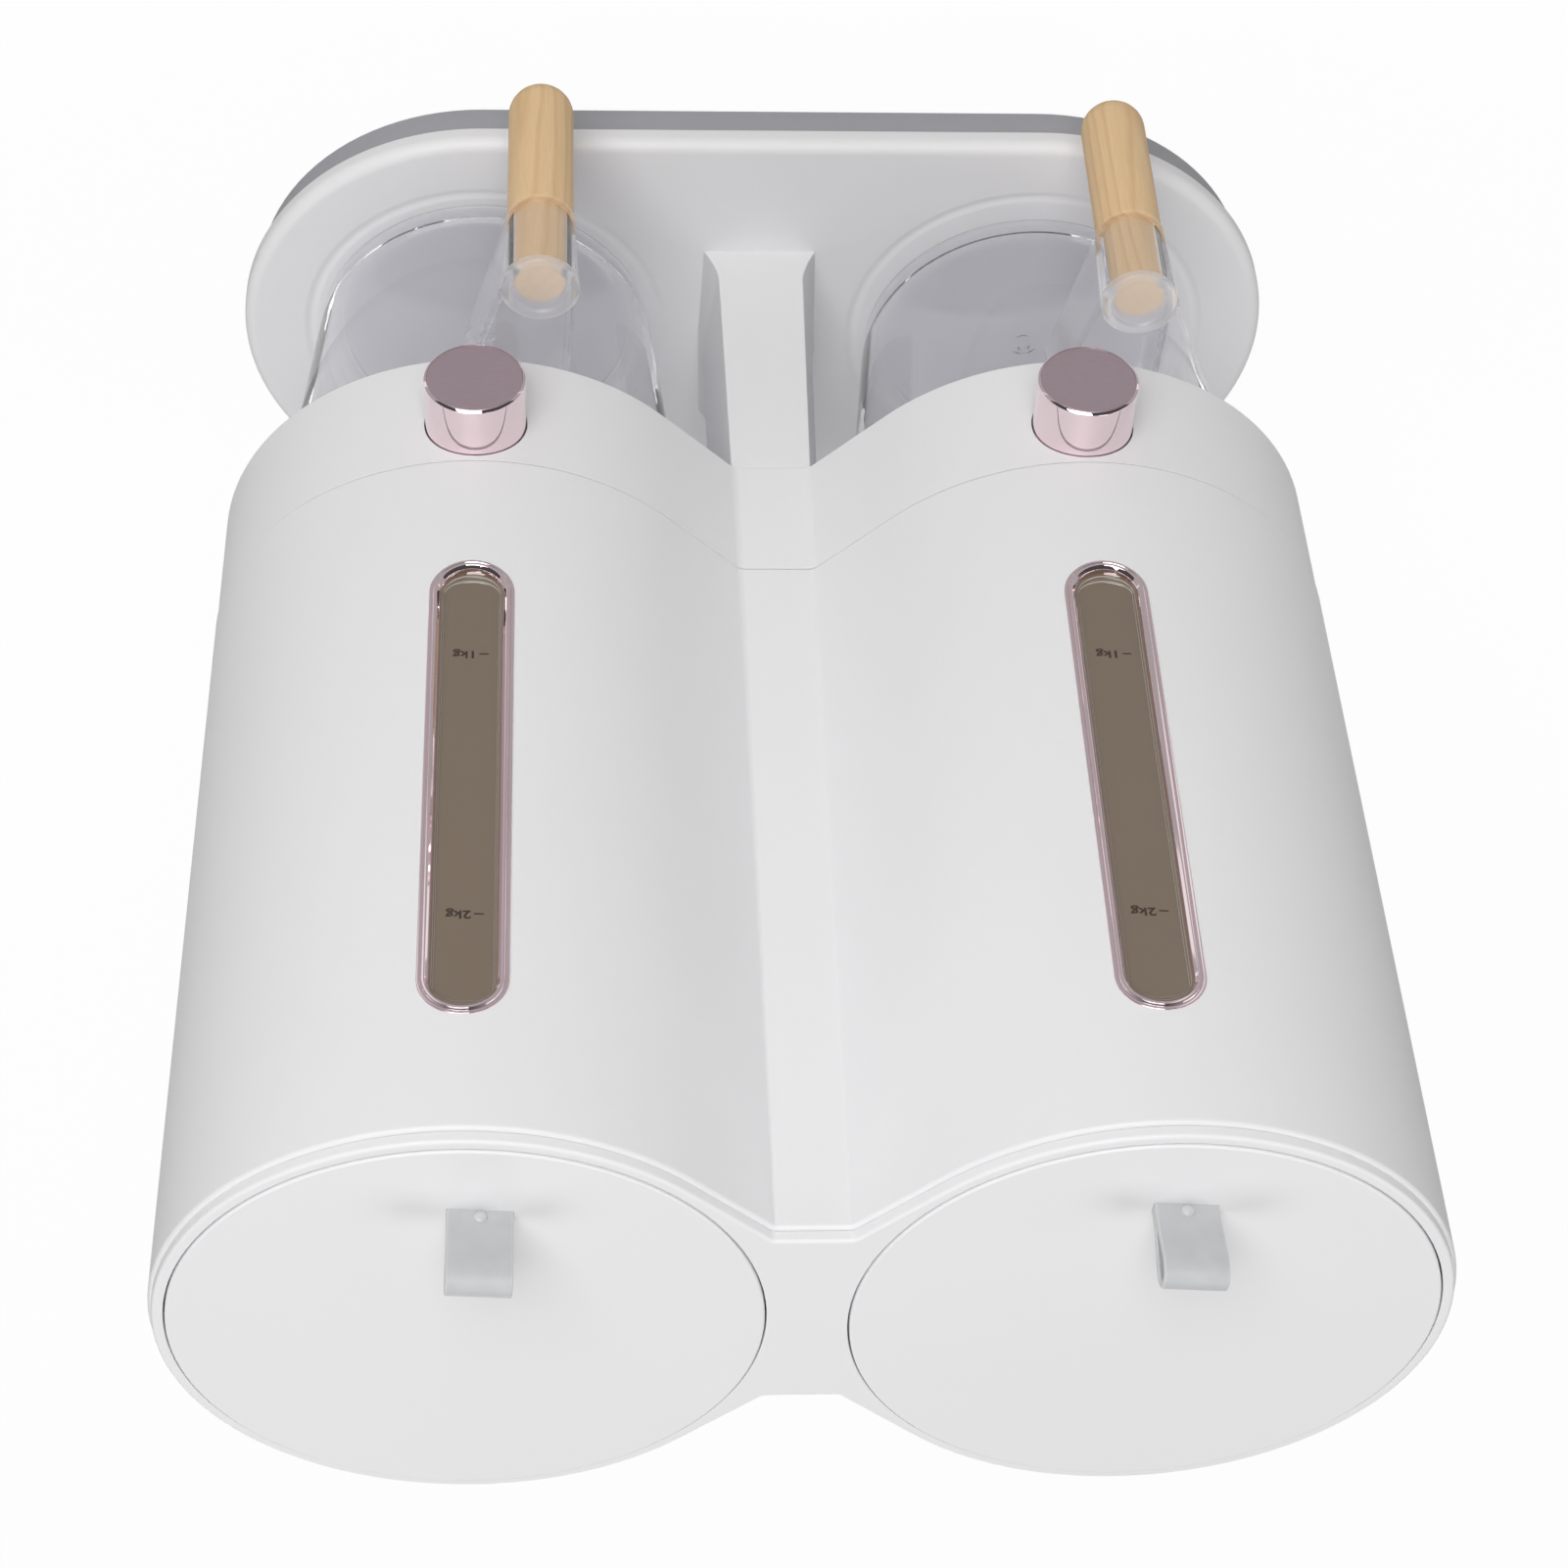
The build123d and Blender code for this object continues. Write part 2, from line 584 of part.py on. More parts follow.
def make_lid():
    """Round lid: a flange on the well's floor and a plug with a groove for the seal."""
    lid_low = WELL_FLOOR - PLUG_DEPTH
    under = LID_TOP - LID_TOP_WALL
    plug_inner = PLUG_RADIUS - PLUG_WALL
    profile = Polyline(
        (0, LID_TOP),
        (LID_RADIUS, LID_TOP),
        (LID_RADIUS, WELL_FLOOR),
        (GROOVE_RADIUS, WELL_FLOOR),
        (GROOVE_RADIUS, WELL_FLOOR - SEAL_HEIGHT),
        (PLUG_RADIUS, WELL_FLOOR - SEAL_HEIGHT),
        (PLUG_RADIUS, lid_low),
        (plug_inner, lid_low),
        (plug_inner, under),
        (0, under),
        close=True,
    )
    lid = revolve(make_face(Plane.XZ * profile), Axis.Z)
    top_edge = lid.edges().filter_by(GeomType.CIRCLE).group_by(Axis.Z)[-1].sort_by(SortBy.RADIUS)[-1]
    lid = fillet(top_edge, LID_EDGE_ROUND)
    slot = Box(STRAP_WIDTH + 2 * SEAT_GAP, SLOT_DEPTH + 2 * SEAT_GAP, 2 * LID_FLANGE)
    return lid - Pos(0, -STRAP_REACH, LID_TOP) * slot


def make_lid_seal():
    """Soft ring in the plug's groove, with a rounded outer edge that fills the mouth."""
    inner = GROOVE_RADIUS + SEAT_GAP
    outer = MOUTH_RADIUS - SLIDE_GAP
    low = WELL_FLOOR - SEAL_HEIGHT + SEAT_GAP
    high = WELL_FLOOR - SEAT_GAP
    straight = outer - (high - low) / 2
    profile = make_face([
        Line((inner, 0, low), (straight, 0, low)),
        ThreePointArc((straight, 0, low), (outer, 0, (low + high) / 2), (straight, 0, high)),
        Line((straight, 0, high), (inner, 0, high)),
        Line((inner, 0, high), (inner, 0, low)),
    ])
    return revolve(profile, Axis.Z)


def teardrop(high):
    """Face across the folded strap: two legs, sides that open from the pinch, and a round top."""
    low = LID_TOP - LID_TOP_WALL - STRAP_FOOT
    neck = LID_TOP + STRAP_PINCH
    centre = high - STRAP_BULGE
    leg = STRAP_THICKNESS
    reach = hypot(leg, neck - centre)
    along = Vector(leg, neck - centre) / reach
    across = Vector(-along.Y, along.X)
    share = STRAP_BULGE / reach
    touch = (along * share + across * sqrt(1 - share**2)) * STRAP_BULGE
    side = touch.X
    shoulder = centre + touch.Y
    return make_face([
        Line((0, -leg, low), (0, leg, low)),
        Line((0, leg, low), (0, leg, neck)),
        Line((0, leg, neck), (0, side, shoulder)),
        ThreePointArc((0, side, shoulder), (0, 0, high), (0, -side, shoulder)),
        Line((0, -side, shoulder), (0, -leg, neck)),
        Line((0, -leg, neck), (0, -leg, low)),
    ])


def make_lid_strap():
    """Strap folded into a loop, pinched at its base, with its ends through a slot in the lid."""
    under = LID_TOP - LID_TOP_WALL
    top = LID_TOP + STRAP_HEIGHT
    strap = extrude(teardrop(top), amount=STRAP_WIDTH / 2, both=True)
    inner_bulge = STRAP_BULGE - STRAP_THICKNESS
    centre = top - STRAP_BULGE
    drop = centre - LID_TOP - STRAP_PINCH
    inner = make_face([
        Line((0, 0, centre - drop), (0, inner_bulge, centre)),
        ThreePointArc((0, inner_bulge, centre), (0, 0, centre + inner_bulge), (0, -inner_bulge, centre)),
        Line((0, -inner_bulge, centre), (0, 0, centre - drop)),
    ])
    strap -= extrude(inner, amount=STRAP_WIDTH, both=True)
    foot = 2 * STRAP_THICKNESS
    half = STRAP_WIDTH / 2
    strap += block(-half, half, -foot, foot, under - STRAP_FOOT, under)
    strap -= lengthwise(RIVET_RADIUS, -STRAP_BULGE, STRAP_BULGE, LID_TOP + RIVET_HEIGHT)
    return Pos(0, -STRAP_REACH, 0) * strap


def make_strap_rivet():
    """Rivet through both plies at the strap's base, with a domed head on each side."""
    z = LID_TOP + RIVET_HEIGHT
    grip = STRAP_THICKNESS
    head = lengthwise(RIVET_HEAD_RADIUS, -grip - RIVET_HEAD, -grip, z)
    head = fillet(head.edges().group_by(Axis.Y)[0], RIVET_DOME)
    shank = lengthwise(RIVET_RADIUS - SEAT_GAP, -grip, grip, z)
    return Pos(0, -STRAP_REACH, 0) * (head + shank + mirror(head, Plane.XZ))


# Buttons, gates, guides and springs
BUTTON_FACE = -COLLAR_FRONT - BUTTON_PROUD
FLANGE_END = SLEEVE_END + FLANGE_THICKNESS
CAP_BORE = BUTTON_RADIUS - BUTTON_WALL


def make_button():
    """Hollow push button with a chamfered face and a flange behind the collar's sleeve."""
    cap = lengthwise(BUTTON_RADIUS, BUTTON_FACE, FLANGE_END, BUTTON_AXIS)
    cap = chamfer(cap.edges().group_by(Axis.Y)[0], BUTTON_CHAMFER)
    cap += lengthwise(SLEEVE_RADIUS - SLIDE_GAP, SLEEVE_END, FLANGE_END, BUTTON_AXIS)
    return cap - lengthwise(CAP_BORE, BUTTON_FACE + BUTTON_WALL, FLANGE_END, BUTTON_AXIS)


def make_gate():
    """Sliding plate with a window, joined to the button by a plug and a neck."""
    half = GATE_WIDTH / 2
    plate_front = FLANGE_END + GATE_NECK
    plug = lengthwise(CAP_BORE - SEAT_GAP, FLANGE_END - GATE_PLUG, FLANGE_END, BUTTON_AXIS)
    gate = block(-half, half, plate_front, GATE_TAIL, GATE_LOW, GATE_HIGH)
    neck = GATE_NECK_WIDTH / 2
    gate += block(-neck, neck, FLANGE_END, plate_front, GATE_LOW, GATE_HIGH)
    gate += plug
    gate += lengthwise(SPRING_POST_RADIUS, GATE_TAIL, GATE_TAIL + SPRING_POST, BUTTON_AXIS)
    tail = GATE_TAIL_WIDTH / 2
    gate += block(-tail, tail, TAIL_FRONT, GATE_TAIL, GATE_LOW, TAIL_HIGH)
    front = -BUTTON_TRAVEL - OUTLET_DEPTH / 2
    rear = -BUTTON_TRAVEL + OUTLET_DEPTH / 2
    gate -= block(-OUTLET_WIDTH / 2, OUTLET_WIDTH / 2, front, rear, GATE_LOW, GATE_HIGH)
    return gate


def make_gate_guide():
    """Channel that carries the gate, with the spout below it and the spring's stop behind."""
    rear = REAR_WALL + GUIDE_WALL
    guide = block(-RAIL_OUTER, RAIL_OUTER, -GUIDE_FRONT, rear, GUIDE_LOW, GUIDE_TOP)
    for hand in (-1, 1):
        rail_low = min(hand * RAIL_INNER, hand * RAIL_OUTER)
        rail_high = max(hand * RAIL_INNER, hand * RAIL_OUTER)
        guide += block(rail_low, rail_high, -GUIDE_FRONT, rear, GUIDE_TOP, GATE_HIGH)
        ear_low = min(hand * RAIL_OUTER, hand * (RAIL_OUTER + GUIDE_EAR))
        ear_high = max(hand * RAIL_OUTER, hand * (RAIL_OUTER + GUIDE_EAR))
        ear_front = GUIDE_EAR_PLACE - GUIDE_EAR / 2
        ear_rear = GUIDE_EAR_PLACE + GUIDE_EAR / 2
        guide += block(ear_low, ear_high, ear_front, ear_rear, GUIDE_LOW, GUIDE_TOP)
    wall = GUIDE_WALL_WIDTH / 2
    guide += block(-wall, wall, REAR_WALL, rear, GUIDE_TOP, GUIDE_TOP + GUIDE_WALL_HEIGHT)
    guide += lengthwise(SPRING_POST_RADIUS, REAR_WALL - SPRING_POST, REAR_WALL, BUTTON_AXIS)
    spout_low = COLLAR_LOW - SPOUT_DROP
    guide += upright(THROAT_RADIUS + SPOUT_WALL - SLIDE_GAP, spout_low, GUIDE_LOW)
    guide -= upright(THROAT_RADIUS - SLIDE_GAP, spout_low, GUIDE_LOW)
    mouth_x = OUTLET_WIDTH / 2 + OUTLET_LAP
    mouth_y = OUTLET_DEPTH / 2 + OUTLET_LAP
    guide -= block(-mouth_x, mouth_x, -mouth_y, mouth_y, GUIDE_LOW, GUIDE_TOP)
    spring_room = SPRING_RADIUS + SPRING_WIRE
    guide -= block(-spring_room, spring_room, GATE_TAIL, REAR_WALL, GUIDE_LOW, GUIDE_TOP)
    for hand in (-1, 1):
        guide -= upright(SHANK_HOLE, GUIDE_LOW, GUIDE_TOP, hand * GUIDE_SCREW_X, GUIDE_EAR_PLACE)
    return guide


def make_button_spring():
    """Coil spring between the gate's tail and the guide's rear wall."""
    free = SPRING_LENGTH - SPRING_WIRE - 2 * SEAT_GAP
    start = (0, GATE_TAIL + SPRING_WIRE / 2 + SEAT_GAP, BUTTON_AXIS)
    coil = Helix(free / SPRING_TURNS, free, SPRING_RADIUS, center=start, direction=(0, 1, 0))
    section = Plane(origin=coil @ 0, z_dir=coil % 0) * Circle(SPRING_WIRE / 2)
    return sweep(section, path=coil, is_frenet=True)


# Cups and handles
def cup_body(wall):
    """Revolved solid of the cup's outside, or of its inside when drawn in by a wall."""
    low = PLATE_TOP + wall
    slope = tan(radians(CUP_DRAFT))
    corner = CUP_CORNER - wall
    side = wall / cos(radians(CUP_DRAFT))
    foot = CUP_FOOT_RADIUS - side + wall * slope
    rim = CUP_RADIUS - side
    profile = Polyline((0, low), (foot, low), (rim, CUP_RIM), (0, CUP_RIM), close=True)
    solid = revolve(make_face(Plane.XZ * profile), Axis.Z)
    return fillet(solid.edges().group_by(Axis.Z)[0], corner)


def make_cup():
    """Clear cup with a socket for its handle, carried on two webs at the rim."""
    base_align = (Align.CENTER, Align.CENTER, Align.MIN)
    socket_cone = Cone(SOCKET_RADIUS - SOCKET_TAPER, SOCKET_RADIUS, SOCKET_LENGTH, align=base_align)
    socket = Pos(0, -HANDLE_REACH, SOCKET_LOW) * socket_cone
    web_profile = make_face(Polyline(
        (0, -CUP_RADIUS + CUP_WALL, CUP_RIM),
        (0, -HANDLE_REACH, CUP_RIM),
        (0, -HANDLE_REACH, SOCKET_LOW),
        (0, -CUP_RADIUS + CUP_WALL, SOCKET_LOW + WEB_RISE),
        close=True,
    ))
    web = extrude(web_profile, amount=WEB_THICKNESS / 2, both=True)
    cup = cup_body(0) + socket
    for hand in (-1, 1):
        cup += Pos(hand * WEB_SPACING / 2, 0, 0) * web
    cup -= cup_body(CUP_WALL)
    cup += upright(CUP_NUB_RADIUS, PLATE_TOP + CUP_WALL, PLATE_TOP + CUP_WALL + CUP_NUB_HEIGHT)
    return cup - upright(SPIGOT_RADIUS + SEAT_GAP, SOCKET_LOW, CUP_RIM, 0, -HANDLE_REACH)


def make_cup_handle():
    """Wooden dowel with a rounded end and a thinner spigot that fills the socket."""
    grip = upright(HANDLE_RADIUS, HANDLE_LOW, SOCKET_LOW, 0, -HANDLE_REACH)
    grip = fillet(grip.edges().group_by(Axis.Z)[0], HANDLE_END_ROUND)
    return grip + upright(SPIGOT_RADIUS, SOCKET_LOW, CUP_RIM - SPIGOT_SHY, 0, -HANDLE_REACH)


def build_nodes():
    """Every piece in its place, by the name of its node."""
    nodes = {
        "base_tray": make_base_tray(),
        "base_plate": make_base_plate(),
        "base_screws": make_base_screws(),
        "pillar": make_pillar(),
        "pillar_screws": make_pillar_screws(),
        "bottom_cover": make_bottom_cover(),
        "cover_screws": make_cover_screws(),
        "collar": make_collar(),
        "guide_screws": make_guide_screws(),
        "body_shell": make_body_shell(),
        "top_deck": make_top_deck(),
    }
    fixed = {
        "hopper": make_hopper(),
        "funnel": make_funnel(),
        "window_bezel": make_window_bezel(),
        "window_lens": make_window_lens(),
        "button": make_button(),
        "gate": make_gate(),
        "gate_guide": make_gate_guide(),
        "button_spring": make_button_spring(),
    }
    on_lid = {
        "lid": make_lid(),
        "lid_seal": make_lid_seal(),
        "lid_strap": make_lid_strap(),
        "strap_rivet": make_strap_rivet(),
    }
    with_cup = {
        "cup": make_cup(),
        "cup_handle": make_cup_handle(),
    }
    for hand, side in (("left", -1), ("right", 1)):
        axis = Pos(side * BARREL_OFFSET, 0, 0)
        for name, piece in fixed.items():
            nodes[f"{hand}_{name}"] = axis * piece
        for name, piece in on_lid.items():
            nodes[f"{hand}_{name}"] = axis * Rot(0, 0, LID_TURN) * piece
        for name, piece in with_cup.items():
            seat = Pos(0, -CUP_FORWARD - side * CUP_STAGGER, 0)
            nodes[f"{hand}_{name}"] = axis * seat * Rot(0, 0, CUP_TURN) * piece
    return nodes


os.makedirs("parts", exist_ok=True)
for node_name, node in build_nodes().items():
    node.label = node_name
    export_step(node, f"parts/{node_name}.step")
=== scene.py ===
# %% [markdown]
# # A rice dispenser with two barrels
# A plain CAD model fixes every size of this part. Here it gets the surfaces that an eye
# expects: satin white plastic, rose chrome, clear cups, pine handles and soft straps.

# %% Load the frame
import math
import bpy
import bmesh
from mathutils import Matrix, Vector


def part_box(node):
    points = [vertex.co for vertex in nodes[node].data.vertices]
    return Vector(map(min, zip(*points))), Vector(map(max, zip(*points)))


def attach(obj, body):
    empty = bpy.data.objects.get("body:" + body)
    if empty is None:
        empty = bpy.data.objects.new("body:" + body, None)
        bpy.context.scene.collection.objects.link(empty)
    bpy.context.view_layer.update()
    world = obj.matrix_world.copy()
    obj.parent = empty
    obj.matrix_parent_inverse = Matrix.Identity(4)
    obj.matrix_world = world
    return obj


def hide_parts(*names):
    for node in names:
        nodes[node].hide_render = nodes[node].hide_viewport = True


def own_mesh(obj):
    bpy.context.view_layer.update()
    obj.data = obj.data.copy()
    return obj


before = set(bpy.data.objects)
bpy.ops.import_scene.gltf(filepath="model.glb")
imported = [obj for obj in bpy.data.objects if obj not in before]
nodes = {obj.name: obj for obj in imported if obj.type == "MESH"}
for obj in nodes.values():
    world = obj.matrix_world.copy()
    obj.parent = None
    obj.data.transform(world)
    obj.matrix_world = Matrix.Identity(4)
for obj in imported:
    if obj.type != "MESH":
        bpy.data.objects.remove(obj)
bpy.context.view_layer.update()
scene = bpy.context.scene
scene.view_settings.view_transform = "Standard"

# %% [markdown]
# ## Sizes
# The levels come from the boxes of the CAD nodes, so the dressed pieces sit where the solids
# do. The other sizes are written in millimetres, as on a drawing, and turned into metres once.

# %% Levels and plan sizes
MM = 0.001
HANDS = (("left", -1), ("right", 1))
BARREL_X = 80 * MM
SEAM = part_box("body_shell")[0].z
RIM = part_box("body_shell")[1].z
COLLAR_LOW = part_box("collar")[0].z
DECK_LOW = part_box("top_deck")[0].z
DECK_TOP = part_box("top_deck")[1].z
LID_TOP = DECK_TOP + 0.5 * MM
PLATE_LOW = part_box("base_plate")[0].z
PLATE_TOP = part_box("base_plate")[1].z
RIM_RADIUS = 74.2 * MM
DRAFT = math.tan(math.radians(0.676))
FACET = math.radians(44.4)
WAIST_FLAT = 17.6 * MM
print("seam, rim and lid top in mm:", [round(z / MM, 1) for z in (SEAM, RIM, LID_TOP)])

# %% [markdown]
# ## The camera
# The photograph looks down at the front from about 42 degrees, and the picture is upside
# down. Rolling the camera by half a turn gives that framing. The small shift puts
# the optical axis where the photograph has it.

# %% Camera
IMAGE_PIXELS = 1601
FOCAL_PIXELS = 3755.75
SHIFT_PIXELS = (12.9, -55.6)
SENSOR = 36
CAMERA_PLACE = (0.0559, -0.7363, 0.8391)
CAMERA_YAW, CAMERA_PITCH, CAMERA_ROLL = 0.074, 0.730, -0.051
camera_data = bpy.data.cameras.new("photo_camera")
camera_data.sensor_width = SENSOR
camera_data.lens = FOCAL_PIXELS * SENSOR / IMAGE_PIXELS
camera_data.shift_x, camera_data.shift_y = [shift / IMAGE_PIXELS for shift in SHIFT_PIXELS]
camera_data.clip_end = 50
camera = bpy.data.objects.new("photo_camera", camera_data)
scene.collection.objects.link(camera)
aim = Matrix.Rotation(CAMERA_YAW, 4, "Z") @ Matrix.Rotation(math.pi / 2 - CAMERA_PITCH, 4, "X")
roll = Matrix.Rotation(math.pi + CAMERA_ROLL, 4, "Z")
camera.matrix_world = Matrix.Translation(CAMERA_PLACE) @ aim @ roll
scene.camera = camera
print("lens in mm:", round(camera_data.lens, 1))

# %% [markdown]
# ## Node trees in a few words
# Materials and Geometry Nodes are both trees of nodes. One short helper adds a node, sets its
# options, and fills its sockets with numbers or with links, so that a tree reads as a recipe.
# The others are the few nodes that every finish needs: a place, a cloud, a range, a tone.


# %% Helpers for node trees
def feed(tree, node, *values, **named):
    """Fills a node's sockets in order or by name, with numbers or with links."""
    pairs = list(zip(node.inputs, values))
    pairs += [(node.inputs[name.replace("_", " ")], value) for name, value in named.items()]
    for socket, value in pairs:
        if isinstance(value, bpy.types.NodeSocket):
            tree.links.new(value, socket)
        elif value is not None:
            socket.default_value = value
    return node


def put(tree, kind, *values, options=None, **named):
    """Adds a node, sets its options and fills its sockets."""
    node = tree.nodes.new(kind)
    for option, setting in (options or {}).items():
        setattr(node, option, setting)
    return feed(tree, node, *values, **named)


def calc(tree, operation, *values):
    """Result of one sum in a tree."""
    return put(tree, "ShaderNodeMath", *values, options={"operation": operation}).outputs[0]


def object_place(tree, **mapping):
    """Object coordinates, moved or stretched where that is asked for."""
    here = put(tree, "ShaderNodeTexCoord").outputs["Object"]
    return put(tree, "ShaderNodeMapping", here, **mapping).outputs[0] if mapping else here


def noise(tree, where, scale, detail=2.0):
    """Cloudy value from 0 to 1 over a surface."""
    return put(tree, "ShaderNodeTexNoise", Vector=where, Scale=scale, Detail=detail).outputs["Fac"]


def remap(tree, value, **ends):
    """Value moved from one range to another."""
    return put(tree, "ShaderNodeMapRange", Value=value, **ends).outputs[0]


def tones(tree, value, first, last, *between):
    """Colour that runs from a first tone to a last one, through others at their places."""
    ramp = put(tree, "ShaderNodeValToRGB", value)
    elements = ramp.color_ramp.elements
    elements[0].color = (*first, 1)
    elements[1].color = (*last, 1)
    for place, tone in between:
        elements.new(place).color = (*tone, 1)
    return ramp.outputs[0]


def mix_colours(tree, factor, first, second):
    """Colour between two others. The Mix node has its two colours after five other sockets."""
    sockets = (factor, *[None] * 5, first, second)
    return put(tree, "ShaderNodeMix", *sockets, options={"data_type": "RGBA"}).outputs[2]


def shaded(tree, colour, shade):
    """Colour made darker or paler."""
    return put(tree, "ShaderNodeVectorMath", colour, options={"operation": "SCALE"}, Scale=shade).outputs[0]


def bump_of(tree, height, strength, depth):
    """Normal that a height field gives."""
    return put(tree, "ShaderNodeBump", Strength=strength, Distance=depth, Height=height).outputs[0]


print("node helpers ready")

# %% [markdown]
# ## Floor, world and lamps
# The photograph was taken on white, with one broad soft light in front and two smaller ones
# above left and right, which give the faint pair of shadows at each strap. A weak fill from the
# left opens the shaded side of each barrel, and a low light behind keeps the back white for
# anyone who walks round the model. The floor shows white to the camera and through
# clear plastic, and keeps a trace of the shadow. Mirrors see a grey floor with a bright strip on
# either side, and a darker room in front, as plated parts in a studio do: without something
# dark to reflect, chrome looks like paint.

# %% Floor
FLOOR_GLOW = 0.95
FLOOR_PAINT = 0.95
FLOOR_BOUNCE = 0.6
FLOOR_IN_MIRRORS = 0.4
STRIP_PLACE = 0.27
STRIP_HALF_WIDTH = 0.03
STRIP_GLOW = 0.5


def ray_kinds(tree):
    """Two masks: rays that see the scene directly or through clear plastic, and mirror rays."""
    kinds = put(tree, "ShaderNodeLightPath").outputs
    direct = calc(tree, "MAXIMUM", kinds["Is Camera Ray"], kinds["Is Transmission Ray"])
    return direct, kinds["Is Glossy Ray"]


def between(tree, mask, otherwise, where_masked):
    """One value, and another where a mask is 1."""
    return calc(tree, "MULTIPLY_ADD", mask, calc(tree, "SUBTRACT", where_masked, otherwise), otherwise)


bpy.ops.mesh.primitive_plane_add(size=12)
floor = bpy.context.object
floor.name = "floor"
floor_paint = bpy.data.materials.new("white_sweep")
floor_paint.use_nodes = True
tree = floor_paint.node_tree
tree.nodes.clear()
direct, mirror = ray_kinds(tree)
lit = put(tree, "ShaderNodeBsdfDiffuse", Color=between(tree, direct, FLOOR_BOUNCE, FLOOR_PAINT)).outputs[0]
aside = put(tree, "ShaderNodeSeparateXYZ", object_place(tree)).outputs["X"]
strip = calc(tree, "COMPARE", calc(tree, "ABSOLUTE", aside), STRIP_PLACE, STRIP_HALF_WIDTH)
in_mirror = calc(tree, "MULTIPLY_ADD", strip, STRIP_GLOW, FLOOR_IN_MIRRORS)
white = put(tree, "ShaderNodeEmission", Strength=between(tree, direct, in_mirror, 1.0)).outputs[0]
seen = calc(tree, "MULTIPLY", calc(tree, "MAXIMUM", direct, mirror), FLOOR_GLOW)
shown = put(tree, "ShaderNodeMixShader", seen, lit, white).outputs[0]
put(tree, "ShaderNodeOutputMaterial", shown)
floor.data.materials.append(floor_paint)
print("floor ready")

# %% World
WORLD_LIGHT = 0.28
ROOM_FRONT, ROOM_BACK = -0.35, 0.3
ROOM_DARK, ROOM_BRIGHT = 0.065, 0.95
world = bpy.data.worlds.new("studio")
scene.world = world
world.use_nodes = True
tree = world.node_tree
tree.nodes.clear()
direct, mirror = ray_kinds(tree)
way = put(tree, "ShaderNodeSeparateXYZ", put(tree, "ShaderNodeTexCoord").outputs["Generated"]).outputs["Y"]
room = remap(tree, way, From_Min=ROOM_FRONT, From_Max=ROOM_BACK, To_Min=ROOM_DARK, To_Max=ROOM_BRIGHT)
ambient = between(tree, mirror, WORLD_LIGHT, room)
sky = put(tree, "ShaderNodeBackground", (1, 1, 1, 1), Strength=between(tree, direct, ambient, 1.0)).outputs[0]
put(tree, "ShaderNodeOutputWorld", sky)
print("world ready")

# %% Lamps
LAMP_AIM = Vector((0, 0, 0.2))
LAMPS = (
    ("front", (0.34, -1.6, 1.35), 1.3, 26.3),
    ("left", (-0.95, 0.2, 1.8), 0.7, 5.2),
    ("right", (0.95, 0.2, 1.8), 0.7, 5.1),
    ("fill", (-1.6, 0.0, 0.9), 0.9, 1.3),
    ("back", (0.3, 1.8, 0.4), 1.0, 5),
)
for name, place, size, watts in LAMPS:
    lamp = bpy.data.lights.new(f"soft_box_{name}", "AREA")
    lamp.shape = "SQUARE"
    lamp.size = size
    lamp.energy = watts
    holder = bpy.data.objects.new(f"soft_box_{name}", lamp)
    scene.collection.objects.link(holder)
    holder.location = place
    holder.rotation_euler = (LAMP_AIM - Vector(place)).to_track_quat("-Z", "Y").to_euler()

# %% [markdown]
# ## Shared surface effects
# Moulded plastic is never one flat colour: the melt cools unevenly, and the tool leaves a very
# fine texture. Handled gloss has faint smears. Each effect is a node group, made once and
# placed in every material that needs it, with that material's own values.


# %% Groups for moulded skin and handled gloss
def new_group(name, inputs, outputs):
    """Empty shader group with named sockets."""
    group = bpy.data.node_groups.new(name, "ShaderNodeTree")
    for label, kind, value in inputs:
        socket = group.interface.new_socket(label, in_out="INPUT", socket_type=kind)
        socket.default_value = value
    for label, kind in outputs:
        group.interface.new_socket(label, in_out="OUTPUT", socket_type=kind)
    return group, put(group, "NodeGroupInput").outputs, put(group, "NodeGroupOutput")


FLOAT, COLOUR = "NodeSocketFloat", "NodeSocketColor"
moulded_skin, given, result = new_group(
    "moulded_skin",
    [("Colour", COLOUR, (0.8, 0.8, 0.8, 1)), ("Mottle", FLOAT, 0.03), ("Roughness", FLOAT, 0.4),
     ("Roughness Spread", FLOAT, 0.08), ("Tool Texture", FLOAT, 1400.0)],
    [("Colour", COLOUR), ("Roughness", FLOAT), ("Height", FLOAT)],
)
here = object_place(moulded_skin)
cloud = calc(moulded_skin, "SUBTRACT", noise(moulded_skin, here, 22.0, 3.0), 0.5)
shade = calc(moulded_skin, "MULTIPLY_ADD", cloud, given["Mottle"], 1.0)
patch = calc(moulded_skin, "SUBTRACT", noise(moulded_skin, here, 90.0), 0.5)
uneven = calc(moulded_skin, "MULTIPLY", patch, given["Roughness Spread"])
feed(
    moulded_skin, result, Colour=shaded(moulded_skin, given["Colour"], shade),
    Roughness=calc(moulded_skin, "ADD", given["Roughness"], uneven),
    Height=noise(moulded_skin, here, given["Tool Texture"]),
)

handled_gloss, given, result = new_group(
    "handled_gloss",
    [("Clean", FLOAT, 0.03), ("Smeared", FLOAT, 0.12), ("Smear Scale", FLOAT, 45.0)],
    [("Roughness", FLOAT), ("Smear", FLOAT)],
)
drawn = object_place(handled_gloss, Scale=(1.0, 1.0, 0.35))
smear = noise(handled_gloss, drawn, given["Smear Scale"], 4.0)
mask = remap(handled_gloss, smear, From_Min=0.48, From_Max=0.72)
dulled = between(handled_gloss, mask, given["Clean"], given["Smeared"])
feed(handled_gloss, result, Roughness=dulled, Smear=mask)
print("groups:", [g.name for g in (moulded_skin, handled_gloss)])


